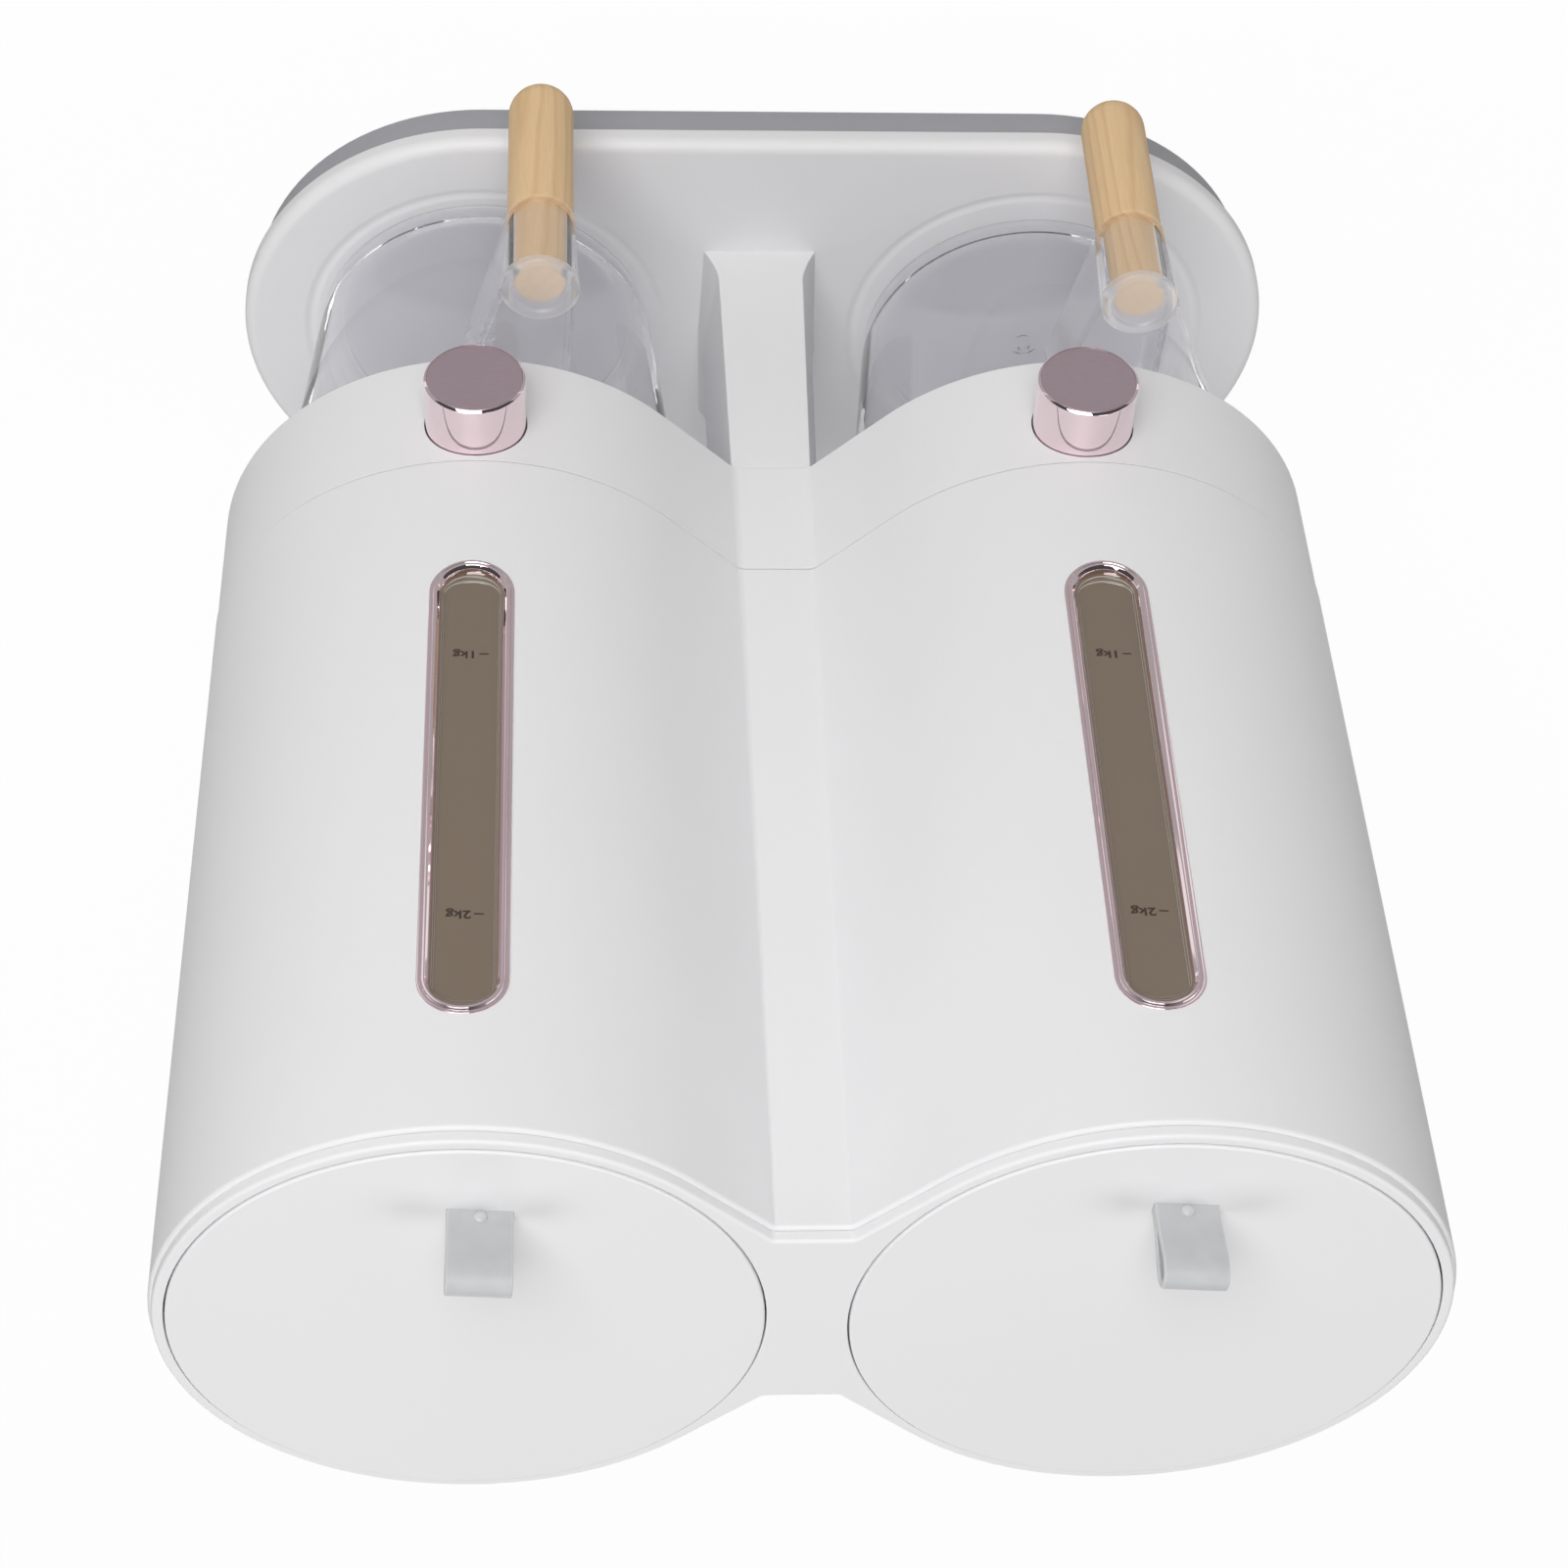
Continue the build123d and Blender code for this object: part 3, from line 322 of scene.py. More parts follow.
# %% Placing the groups in a material
def new_material(name):
    """Material with a Principled shader to fill."""
    material = bpy.data.materials.new(name)
    material.use_nodes = True
    return material, material.node_tree, material.node_tree.nodes["Principled BSDF"]


def skin_of(tree, colour, mottle, roughness, spread, texture):
    """Outputs of the moulded skin with a material's own values."""
    return put(
        tree, "ShaderNodeGroup", options={"node_tree": moulded_skin}, Colour=(*colour, 1), Mottle=mottle,
        Roughness=roughness, Roughness_Spread=spread, Tool_Texture=texture,
    ).outputs


def gloss_of(tree, clean, smeared, scale):
    """Outputs of the handled gloss with a material's own values."""
    return put(
        tree, "ShaderNodeGroup", options={"node_tree": handled_gloss}, Clean=clean, Smeared=smeared,
        Smear_Scale=scale,
    ).outputs


print("group helpers ready")

# %% [markdown]
# ## Plastics
# The body, the tray, the hoppers and the seals are all moulded, so they share one recipe with
# other values: a colour, a satin roughness that wanders a little, and a whisper of bump.

# %% Moulded plastics
TOOL_DEPTH = 0.05 * MM


def moulded(name, colour, mottle, roughness, spread, texture, bump):
    """Moulded plastic by the shared recipe."""
    material, tree, shader = new_material(name)
    skin = skin_of(tree, colour, mottle, roughness, spread, texture)
    feed(
        tree, shader, Base_Color=skin["Colour"], Roughness=skin["Roughness"],
        Normal=bump_of(tree, skin["Height"], bump, TOOL_DEPTH),
    )
    return material


white_plastic = moulded("satin_white", (0.835, 0.831, 0.841), 0.02, 0.5, 0.08, 1500.0, 0.1)
tray_plastic = moulded("tray_grey", (0.39, 0.39, 0.415), 0.05, 0.45, 0.1, 1300.0, 0.2)
hopper_plastic = moulded("hopper_taupe", (0.216, 0.171, 0.125), 0.05, 0.2, 0.06, 900.0, 0.05)
seal_rubber = moulded("seal_white", (0.62, 0.62, 0.60), 0.06, 0.6, 0.1, 1100.0, 0.2)
rivet_gloss = moulded("rivet_gloss", (0.60, 0.61, 0.62), 0.06, 0.16, 0.08, 900.0, 0.1)
gate_plastic = moulded("gate_white", (0.70, 0.70, 0.69), 0.04, 0.38, 0.1, 1200.0, 0.15)
print("moulded plastics:", [m.name for m in bpy.data.materials if "Principled BSDF" in m.node_tree.nodes])

# %% [markdown]
# ## Rose chrome and the satin face of the buttons
# The frames and buttons are plated plastic: a mirror with a pink tint. The face of a button is
# brushed to a satin mauve, so it takes its own darker metal.

# %% Metals
rose_chrome, tree, shader = new_material("rose_chrome")
gloss = gloss_of(tree, 0.035, 0.09, 70.0)
tint = mix_colours(tree, gloss["Smear"], (0.93, 0.775, 0.81, 1), (0.89, 0.74, 0.775, 1))
feed(tree, shader, Base_Color=tint, Roughness=gloss["Roughness"], Metallic=1.0)

satin_mauve, tree, shader = new_material("satin_mauve")
streak = noise(tree, object_place(tree, Scale=(1.0, 1.0, 14.0)), 420.0, 3.0)
tint = tones(tree, streak, (0.52, 0.405, 0.455), (0.665, 0.525, 0.58))
feed(tree, shader, Base_Color=tint, Roughness=gloss_of(tree, 0.36, 0.46, 60.0)["Roughness"], Metallic=0.85)

plated_steel, tree, shader = new_material("plated_steel")
tint = tones(tree, noise(tree, object_place(tree), 800.0), (0.50, 0.50, 0.52), (0.66, 0.66, 0.67))
feed(tree, shader, Base_Color=tint, Roughness=gloss_of(tree, 0.2, 0.34, 300.0)["Roughness"], Metallic=1.0)
print("metals:", [m.name for m in (rose_chrome, satin_mauve, plated_steel)])

# %% [markdown]
# ## Clear plastic
# The cups are clear styrene, and thin. A thin clear wall hardly bends what lies behind it, but
# it mirrors the room as strongly as any gloss does. So the body of the plastic bends light only
# a little, and a clear coat on top does the mirroring. For shadow rays it turns plainly
# transparent, because caustics would need far more samples than a studio picture is worth.
# The cap over a handle's end is the same plastic with a frosted face. The webs are thin plates
# seen on edge, where light runs along inside and is lost to the renderer, so they bend it least.

# %% Clear plastic
# Partly the plastic's own faint grey and partly painted shade, which darkens the plate seen through a cup as
# if the body above shaded it.
CLEAR_TINT_AND_SHADE = (0.95, 0.95, 0.962, 1)
SHADOW_TINT = (0.925, 0.925, 0.94, 1)
CLEAR_COAT = 0.65
CLEAR_SMEAR_SCALE = 40.0


def clear_plastic(name, clean, smeared, clarity, coat_roughness, bend):
    """Clear plastic with a glossy coat, transparent to the rays that carry light."""
    material, tree, shader = new_material(name)
    gloss = gloss_of(tree, clean, smeared, CLEAR_SMEAR_SCALE)
    feed(
        tree, shader, Base_Color=CLEAR_TINT_AND_SHADE, IOR=bend, Transmission_Weight=clarity, Coat_Weight=CLEAR_COAT,
        Coat_Roughness=coat_roughness, Roughness=gloss["Roughness"],
    )
    path = put(tree, "ShaderNodeLightPath").outputs
    through = put(tree, "ShaderNodeBsdfTransparent", SHADOW_TINT).outputs[0]
    is_light = calc(tree, "MAXIMUM", path["Is Shadow Ray"], path["Is Diffuse Ray"])
    mixed = put(tree, "ShaderNodeMixShader", is_light, shader.outputs[0], through).outputs[0]
    feed(tree, tree.nodes["Material Output"], Surface=mixed)
    return material


cup_clear = clear_plastic("cup_clear", 0.0, 0.05, 1.0, 0.02, 1.08)
web_clear = clear_plastic("web_clear", 0.12, 0.2, 0.96, 0.08, 1.02)
cap_frost = clear_plastic("cap_frost", 0.3, 0.4, 0.86, 0.18, 1.13)
print("clear plastics:", [m.name for m in (cup_clear, web_clear, cap_frost)])

# %% [markdown]
# ## The smoky pane
# Behind a window one sees the taupe of the hopper through a thick clear pane, so the pane is
# made as one glossy taupe. Its stepped border carries painted highlights: an attribute on the
# mesh says which edges get a paler tone, painted where the steps would catch the light.

# %% Smoky pane
smoky_pane, tree, shader = new_material("smoky_pane")
skin = skin_of(tree, (0.185, 0.136, 0.092), 0.06, 0.16, 0.06, 600.0)
# Painted highlight: a paler tone on the border's edges, standing in for the light they catch.
lit = put(tree, "ShaderNodeAttribute", options={"attribute_name": "lit_edge"}).outputs["Fac"]
feed(
    tree, shader, Base_Color=mix_colours(tree, lit, skin["Colour"], (0.52, 0.48, 0.44, 1)),
    Roughness=skin["Roughness"], Coat_Weight=1.0, Coat_Roughness=0.04, Coat_IOR=1.7,
)
print("pane finish:", smoky_pane.name)

# %% [markdown]
# ## Pine
# The handles are turned from pale pine. A trunk's growth rings are cylinders round its heart,
# so the pattern is the distance from a far-off heart line, bent by noise and folded into bands.
# Fine fibres run along the grain.

# %% Pine
RING_WIDTH = 3.4 * MM
RING_BEND = 0.012
HEART_SHIFT = (0.03, 0.02, 0.0)
pine, tree, shader = new_material("turned_pine")
bend = noise(tree, object_place(tree, Scale=(1.0, 1.0, 0.16)), 55.0)
flat = object_place(tree, Location=HEART_SHIFT, Scale=(1.0, 1.0, 0.0))
reach = put(tree, "ShaderNodeVectorMath", flat, options={"operation": "LENGTH"}).outputs["Value"]
reach = calc(tree, "MULTIPLY_ADD", bend, RING_BEND, reach)
band = calc(tree, "FRACT", calc(tree, "DIVIDE", reach, RING_WIDTH))
wood = tones(
    tree, band, (0.80, 0.565, 0.318), (0.79, 0.555, 0.310),
    (0.78, (0.715, 0.475, 0.248)), (0.5, (0.78, 0.54, 0.297)),
)
fibre = noise(tree, object_place(tree, Scale=(1.0, 1.0, 0.045)), 2600.0)
feed(
    tree, shader, Base_Color=shaded(tree, wood, remap(tree, fibre, To_Min=0.9, To_Max=1.08)),
    Roughness=remap(tree, fibre, To_Min=0.42, To_Max=0.6), Normal=bump_of(tree, fibre, 0.25, 0.08 * MM),
)
print("pine bands in mm:", round(RING_WIDTH / MM, 1))

# %% [markdown]
# ## Strap leather and ink
# The straps are soft coated leather: a fine pebble, a slight sheen, and paler cut edges. An
# attribute on the strap's mesh says where a cut edge is. The level marks are printed ink.

# %% Strap leather and ink
strap_leather, tree, shader = new_material("strap_leather")
here = object_place(tree)
pebble = put(tree, "ShaderNodeTexVoronoi", Vector=here, Scale=1500.0).outputs["Distance"]
cloud = noise(tree, here, 160.0, 3.0)
hide = tones(tree, cloud, (0.475, 0.485, 0.495), (0.575, 0.585, 0.595))
cut = put(tree, "ShaderNodeAttribute", options={"attribute_name": "cut_edge"}).outputs["Fac"]
feed(
    tree, shader, Base_Color=mix_colours(tree, cut, hide, (0.62, 0.62, 0.62, 1)),
    Roughness=remap(tree, cloud, To_Min=0.42, To_Max=0.58), Normal=bump_of(tree, pebble, 0.18, 0.06 * MM),
)

mark_ink, tree, shader = new_material("mark_ink")
ink = tones(tree, noise(tree, object_place(tree), 3000.0), (0.035, 0.022, 0.015), (0.065, 0.042, 0.03))
feed(tree, shader, Base_Color=ink, Roughness=0.5)
print("soft finishes:", [m.name for m in (strap_leather, mark_ink)])

# %% [markdown]
# ## Making a piece
# Every piece ends the same way: a mesh at the origin, smooth where it is round and sharp at
# its edges, riding on one body, with the slot of its finish and the CAD nodes that it stands
# for. Large faces decide the shading, so that long walls stay even up to their round edges.


def loose(name, data):
    """Loose object in the scene, to be evaluated and thrown away."""
    holder = bpy.data.objects.new(name, data)
    scene.collection.objects.link(holder)
    return holder


def evaluated_mesh(holder):
    """Plain mesh of a loose object with its modifiers, after which the object is gone."""
    graph = bpy.context.evaluated_depsgraph_get()
    mesh = bpy.data.meshes.new_from_object(holder.evaluated_get(graph))
    bpy.data.objects.remove(holder)
    return mesh


def finish_piece(name, mesh, material, body, *stands_for, sharp=35):
    """Turns a mesh into a piece that rides on a body and stands for CAD nodes."""
    mesh.materials.clear()
    mesh.materials.append(material)
    mesh.shade_smooth()
    mesh.set_sharp_from_angle(angle=math.radians(sharp))
    holder = loose("weighing", mesh)
    weigh = holder.modifiers.new("weigh", "WEIGHTED_NORMAL")
    weigh.keep_sharp = True
    weigh.weight = 100
    mesh = evaluated_mesh(holder)
    mesh.name = name
    piece = loose(name, mesh)
    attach(piece, body)
    if stands_for:
        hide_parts(*stands_for)
    print(name, len(mesh.polygons), "faces")
    return piece


def mesh_from(form, outward=True):
    """Plain mesh from a bmesh, with doubles merged and faces turned outwards."""
    bmesh.ops.remove_doubles(form, verts=form.verts, dist=1e-6)
    bmesh.ops.dissolve_degenerate(form, edges=form.edges, dist=1e-7)
    if outward:
        bmesh.ops.recalc_face_normals(form, faces=form.faces)
    mesh = bpy.data.meshes.new("form")
    form.to_mesh(mesh)
    form.free()
    return mesh


print("finishing helpers ready")

# %% [markdown]
# ## Rings, lathe and round corners
# Nearly every skin here is a row of rings with bands of faces between them. A lathe makes the
# rings from a profile, as the real moulds were turned, and one more helper rounds the corners
# of a profile the way a drawing gives them: a point and a radius.


# %% Helpers that shape a piece
def join_rings(form, rings, closed=False, caps=()):
    """Bands of faces between rings that follow each other, and flat caps on some of them."""
    following = rings[1:] + rings[:1] if closed else rings[1:]
    for first, second in zip(rings, following):
        for i in range(len(first)):
            j = (i + 1) % len(first)
            form.faces.new((first[i], first[j], second[j], second[i]))
    for end in caps:
        form.faces.new(rings[end])


def circle(radius, count):
    """Points of a circle."""
    angles = [math.tau * i / count for i in range(count)]
    return [(radius * math.cos(angle), radius * math.sin(angle)) for angle in angles]


def lathe(form, profile, turn=128, closed=True, place=Matrix(), unit=MM):
    """Turns a profile of (radius, height) points round Z, then moves it to its place."""
    rings = []
    for radius, height in profile:
        points = circle(radius * unit, turn)
        rings.append([form.verts.new(place @ Vector((x, y, height * unit))) for x, y in points])
    join_rings(form, rings, closed)
    return rings


def rounded(points, steps=5):
    """Profile with round corners, from (x, y, corner radius) points of a closed figure."""
    figure = []
    for i, (x, y, radius) in enumerate(points):
        corner = Vector((x, y))
        if radius == 0:
            figure.append(corner)
            continue
        before = (Vector(points[i - 1][:2]) - corner).normalized()
        after = (Vector(points[(i + 1) % len(points)][:2]) - corner).normalized()
        half = before.angle(after) / 2
        run = radius / math.tan(half)
        centre = corner + (before + after).normalized() * (radius / math.sin(half))
        start = corner + before * run - centre
        end = corner + after * run - centre
        swing = start.angle_signed(end)
        for step in range(steps + 1):
            share = -swing * step / steps
            spun = Vector((
                start.x * math.cos(share) - start.y * math.sin(share),
                start.x * math.sin(share) + start.y * math.cos(share),
            ))
            figure.append(centre + spun)
    return [(p.x, p.y) for p in figure]


print("shaping helpers ready")

# %% [markdown]
# ## The plan of the body
# Seen from above, the body is two circles joined by flat facets and a narrow waist. Drawing
# the plan in by an inset moves every wall by the same amount, as a mould's draft does.

# %% Plan of the body
HALF_ARC_STEPS = 48
CORNER_STEPS = 4
WAIST_CORNER = 1.0 * MM


def body_plan(inset):
    """Points of the body's plan, counter-clockwise, with the waist's corners a little round."""
    radius = RIM_RADIUS - inset
    run = BARREL_X - WAIST_FLAT / 2
    flat = WAIST_FLAT / 2 + inset * math.tan(FACET / 2)
    depth = (RIM_RADIUS - run * math.sin(FACET)) / math.cos(FACET) - inset
    corner = WAIST_CORNER + inset
    right = [(x, -depth) for x in (0.0, flat / 2)]
    centre = (flat - corner * math.tan(FACET / 2), -depth - corner)
    for step in range(CORNER_STEPS + 1):
        angle = FACET * step / CORNER_STEPS
        right.append((centre[0] + corner * math.sin(angle), centre[1] + corner * math.cos(angle)))
    touch = (BARREL_X - radius * math.sin(FACET), -radius * math.cos(FACET))
    x, y = right[-1]
    right += [(x + (touch[0] - x) * k / 4, y + (touch[1] - y) * k / 4) for k in (1, 2, 3)]
    start = math.pi / 2 + FACET
    for step in range(HALF_ARC_STEPS):
        angle = -start + start * step / HALF_ARC_STEPS
        right.append((BARREL_X + radius * math.cos(angle), radius * math.sin(angle)))
    right += [(BARREL_X + radius, 0.0)] + [(x, -y) for x, y in reversed(right)]
    return right + [(-x, y) for x, y in reversed(right[1:-1])]


plan = body_plan(0)
print("plan points:", len(plan), "width in mm:", round(2 * max(x for x, y in plan) / MM, 1))

# %% [markdown]
# ## Shell and collar by one rule
# Both walls follow the same rule: a thin upright section is swept round the plan, leaning
# outwards with the draft. That is a job for Geometry Nodes. The tree turns the plan into a
# curve, draws the section from its inputs, rounds its corners, sweeps it, and cuts the
# openings. Changing one input changes the wall, as changing a mould would.


# %% Helpers for geometry trees
def geometry_tree(name, inputs):
    """Empty geometry tree with named inputs and one geometry output."""
    tree = bpy.data.node_groups.new(name, "GeometryNodeTree")
    tree.interface.new_socket("Geometry", in_out="INPUT", socket_type="NodeSocketGeometry")
    for label, kind in inputs:
        tree.interface.new_socket(label, in_out="INPUT", socket_type=f"NodeSocket{kind}")
    tree.interface.new_socket("Geometry", in_out="OUTPUT", socket_type="NodeSocketGeometry")
    return tree, put(tree, "NodeGroupInput").outputs, put(tree, "NodeGroupOutput").inputs[0]


def close_tree(tree, shape, material, output):
    """Last nodes of every tree: real geometry with its material."""
    real = put(tree, "GeometryNodeRealizeInstances", shape).outputs[0]
    dressed = put(tree, "GeometryNodeSetMaterial", Geometry=real, Material=material).outputs[0]
    tree.links.new(dressed, output)
    print("tree:", tree.name, len(tree.nodes), "nodes")


def run_tree(tree, source, **values):
    """Runs a geometry tree on a source mesh and gives the plain mesh that comes out."""
    host = loose("host", source)
    modifier = host.modifiers.new("shape", "NODES")
    modifier.node_group = tree
    for item in tree.interface.items_tree:
        if item.in_out == "INPUT" and item.name.replace(" ", "_") in values:
            modifier[item.identifier] = values[item.name.replace(" ", "_")]
    form = bmesh.new()
    form.from_mesh(evaluated_mesh(host))
    return mesh_from(form)


def edge_loop(points):
    """Mesh of one closed loop of edges."""
    mesh = bpy.data.meshes.new("loop")
    count = len(points)
    mesh.from_pydata(points, [(i, (i + 1) % count) for i in range(count)], [])
    return mesh


print("geometry helpers ready")

# %% The tree of the tapered wall
wall_tree, given, output = geometry_tree("tapered_wall", [
    ("Low", "Float"), ("High", "Float"), ("Widest Level", "Float"), ("Draft", "Float"), ("Step", "Float"),
    ("Wall", "Float"), ("Low Round", "Float"), ("High Round", "Float"), ("Cutter", "Object"),
    ("Finish", "Material"),
])
path = put(wall_tree, "GeometryNodeMeshToCurve", given["Geometry"]).outputs[0]
path = put(wall_tree, "GeometryNodeSetCurveNormal", path, options={"mode": "Z_UP"}).outputs[0]


def section_corner(level, depth):
    """Corner of the section: how far out it lies at a level, with heights turned down for the sweep."""
    fall = calc(wall_tree, "SUBTRACT", level, given["Widest Level"])
    out = calc(wall_tree, "SUBTRACT", calc(wall_tree, "MULTIPLY", fall, given["Draft"]), given["Step"])
    if depth is not None:
        out = calc(wall_tree, "SUBTRACT", out, depth)
    down = calc(wall_tree, "MULTIPLY", level, -1.0)
    return put(wall_tree, "ShaderNodeCombineXYZ", out, down).outputs[0]


section = put(
    wall_tree, "GeometryNodeCurvePrimitiveQuadrilateral", options={"mode": "POINTS"},
    Point_1=section_corner(given["Low"], None), Point_2=section_corner(given["High"], None),
    Point_3=section_corner(given["High"], given["Wall"]), Point_4=section_corner(given["Low"], given["Wall"]),
).outputs[0]
corner_number = put(wall_tree, "GeometryNodeInputIndex").outputs[0]
from_middle = calc(wall_tree, "ABSOLUTE", calc(wall_tree, "SUBTRACT", corner_number, 1.5))
is_high = calc(wall_tree, "LESS_THAN", from_middle, 1.0)
section = put(
    wall_tree, "GeometryNodeFilletCurve", Curve=section, Count=6, Limit_Radius=True, options={"mode": "POLY"},
    Radius=between(wall_tree, is_high, given["Low Round"], given["High Round"]),
).outputs[0]
wall = put(wall_tree, "GeometryNodeCurveToMesh", path, section).outputs[0]
cutter = put(wall_tree, "GeometryNodeObjectInfo", given["Cutter"]).outputs["Geometry"]
opened = put(
    wall_tree, "GeometryNodeMeshBoolean", options={"operation": "DIFFERENCE", "solver": "EXACT"},
    Mesh_1=wall, Mesh_2=cutter,
).outputs[0]
close_tree(wall_tree, opened, given["Finish"], output)

# %% Cutters for the windows and the button holes
WINDOW_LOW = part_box("left_window_bezel")[0].z
WINDOW_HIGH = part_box("left_window_bezel")[1].z
WINDOW_MIDDLE = (WINDOW_LOW + WINDOW_HIGH) / 2
WINDOW_WIDTH = 20.8 * MM
WINDOW_LAP = 1.0 * MM
BUTTON_AXIS = (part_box("left_button")[0].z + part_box("left_button")[1].z) / 2
BUTTON_RADIUS = 13.2 * MM
HOLE_GAP = 0.3 * MM
CUTTER_ENDS = (-1.3 * RIM_RADIUS, -0.7 * RIM_RADIUS)


def stadium(border, end_border=None, bow=None, count=36):
    """Window outline as (across, up) points from its middle, drawn in at the sides and at the ends.

    The ends are half circles, or flatter ovals where a bow is given."""
    width = WINDOW_WIDTH / 2 - border
    bow = width if bow is None else bow
    straight = (WINDOW_HIGH - WINDOW_LOW) / 2 - (border if end_border is None else end_border) - bow
    points = []
    for end in (1, -1):
        for i in range(count + 1):
            angle = math.pi * i / count
            points.append((end * width * math.cos(angle), end * (straight + bow * math.sin(angle))))
    return points


def make_cutter(name, level, outline):
    """Two straight cutters along Y, one through the front of each barrel, from (x, z) points."""
    form = bmesh.new()
    for _, side in HANDS:
        spots = [(side * BARREL_X + x, level + z) for x, z in outline]
        join_rings(form, [[form.verts.new((x, y, z)) for x, z in spots] for y in CUTTER_ENDS], caps=(0, 1))
    return loose(name, mesh_from(form))


window_cutter = make_cutter("window_cutter", WINDOW_MIDDLE, stadium(WINDOW_LAP))
button_cutter = make_cutter("button_cutter", BUTTON_AXIS, circle(BUTTON_RADIUS + HOLE_GAP, 72))
print("window in mm:", [round(z / MM, 1) for z in (WINDOW_LOW, WINDOW_HIGH)])

# %% Shell and collar
WALL = 2.4 * MM
COLLAR_STEP = 0.25 * MM
SEAM_GAP = 0.6 * MM
SEAM_ROUND = 0.14 * MM
RIM_ROUND = 1.15 * MM
COLLAR_ROUND = 0.5 * MM
COLLAR_TOP = SEAM - SEAM_GAP
WALLS = (
    ("shell", "body_shell", SEAM, RIM, 0.0, SEAM_ROUND, RIM_ROUND, window_cutter),
    ("collar_wall", "collar", COLLAR_LOW, COLLAR_TOP, COLLAR_STEP, COLLAR_ROUND, SEAM_ROUND, button_cutter),
)
for name, node, low, high, step, low_round, high_round, cutter in WALLS:
    wall_mesh = run_tree(
        wall_tree, edge_loop([(x, y, 0) for x, y in plan]), Low=low, High=high, Widest_Level=RIM, Draft=DRAFT,
        Step=step, Wall=WALL, Low_Round=low_round, High_Round=high_round, Cutter=cutter, Finish=white_plastic,
    )
    finish_piece(name, wall_mesh, white_plastic, "dispenser", node, sharp=40)
    bpy.data.objects.remove(cutter)

# %% [markdown]
# ## The deck
# The deck closes the barrels from above and holds a round well for each lid. Its outer edge
# is the plan again, drawn in step by step, and the wells are turned. The flat between them is
# filled with triangles, which is fine because it is truly flat.


# %% Deck
def fill_flat(form, rings, up):
    """Flat face between an outer ring and the rings inside it."""
    edges = []
    for ring in rings:
        for i, vert in enumerate(ring):
            pair = (vert, ring[(i + 1) % len(ring)])
            edges.append(form.edges.get(pair) or form.edges.new(pair))
    bmesh.ops.triangle_fill(form, use_beauty=True, edges=edges, normal=(0, 0, up))


WELL_RADIUS = 70.4 * MM
WELL_FLOOR = LID_TOP - 6.0 * MM
WELL_LIP = ((0.5, 0.0), (0.25, 0.0), (0.07, -0.07), (0.0, -0.25))
MOUTH_RADIUS = 64.5 * MM
DECK_INSET = 1.0 * MM
DECK_EDGE = 0.9 * MM
DECK_GAP = 0.06 * MM
PLUG_INSET = WALL + 0.3 * MM + (RIM - DECK_LOW) * DRAFT
edge_profile = [(DECK_INSET + 1.5 * MM, DECK_TOP), (DECK_INSET + 1.1 * MM, DECK_TOP)]
for step in range(7):
    angle = math.pi / 2 * step / 6
    inset = DECK_INSET + DECK_EDGE * (1 - math.sin(angle))
    edge_profile.append((inset, DECK_TOP - DECK_EDGE * (1 - math.cos(angle))))
edge_profile += [(DECK_INSET, RIM + 0.2 * MM), (DECK_INSET + 0.15 * MM, RIM + DECK_GAP)]
edge_profile += [(PLUG_INSET, RIM + DECK_GAP), (PLUG_INSET, DECK_LOW)]
deck = bmesh.new()
edge_rings = [[deck.verts.new((x, y, z)) for x, y in body_plan(inset)] for inset, z in edge_profile]
join_rings(deck, edge_rings)
well_profile = [(WELL_RADIUS + out * MM, DECK_TOP + up * MM) for out, up in WELL_LIP]
well_profile += [(WELL_RADIUS, WELL_FLOOR), (MOUTH_RADIUS, WELL_FLOOR), (MOUTH_RADIUS, DECK_LOW)]
tops, lows = [edge_rings[0]], [edge_rings[-1]]
for _, side in HANDS:
    spot = Matrix.Translation((side * BARREL_X, 0, 0))
    rings = lathe(deck, well_profile, turn=160, closed=False, place=spot, unit=1)
    tops.append(rings[0])
    lows.append(rings[-1])
fill_flat(deck, tops, 1)
fill_flat(deck, lows, -1)
finish_piece("deck", mesh_from(deck), white_plastic, "dispenser", "top_deck", sharp=30)

# %% [markdown]
# ## Window frames
# A rose chrome ring frames each window. It follows a stadium outline, but on the barrel's
# round, slightly leaning face. The tree bends the outline onto that face, points the curve's
# normals straight out, and sweeps a moulded section along it: a fine lip, a bead, and a slope
# that falls to the pane.

# %% The tree of the window frame
bezel_tree, given, output = geometry_tree("window_frame", [
    ("Barrel", "Float"), ("Radius", "Float"), ("Level", "Float"), ("Draft", "Float"), ("Section", "Object"),
    ("Finish", "Material"),
])
path = put(bezel_tree, "GeometryNodeMeshToCurve", given["Geometry"]).outputs[0]
path = put(bezel_tree, "GeometryNodeResampleCurve", Curve=path, Count=420).outputs[0]
here = put(bezel_tree, "GeometryNodeInputPosition").outputs[0]
flat = put(bezel_tree, "ShaderNodeSeparateXYZ", here).outputs
level = calc(bezel_tree, "SUBTRACT", flat["Z"], given["Level"])
radius = calc(bezel_tree, "MULTIPLY_ADD", level, given["Draft"], given["Radius"])
radius_squared = calc(bezel_tree, "MULTIPLY", radius, radius)
across_squared = calc(bezel_tree, "MULTIPLY", flat["X"], flat["X"])
deep = calc(bezel_tree, "SQRT", calc(bezel_tree, "SUBTRACT", radius_squared, across_squared))
front = calc(bezel_tree, "MULTIPLY", deep, -1.0)
outward = put(bezel_tree, "ShaderNodeCombineXYZ", flat["X"], front).outputs[0]
beside = calc(bezel_tree, "ADD", flat["X"], given["Barrel"])
on_face = put(bezel_tree, "ShaderNodeCombineXYZ", beside, front, flat["Z"]).outputs[0]
kept = put(bezel_tree, "GeometryNodeCaptureAttribute", options={"domain": "POINT"}, Geometry=path)
kept.capture_items.new("VECTOR", "outward")
bezel_tree.links.new(outward, kept.inputs[1])
moved = put(bezel_tree, "GeometryNodeSetPosition", Geometry=kept.outputs[0], Position=on_face).outputs[0]
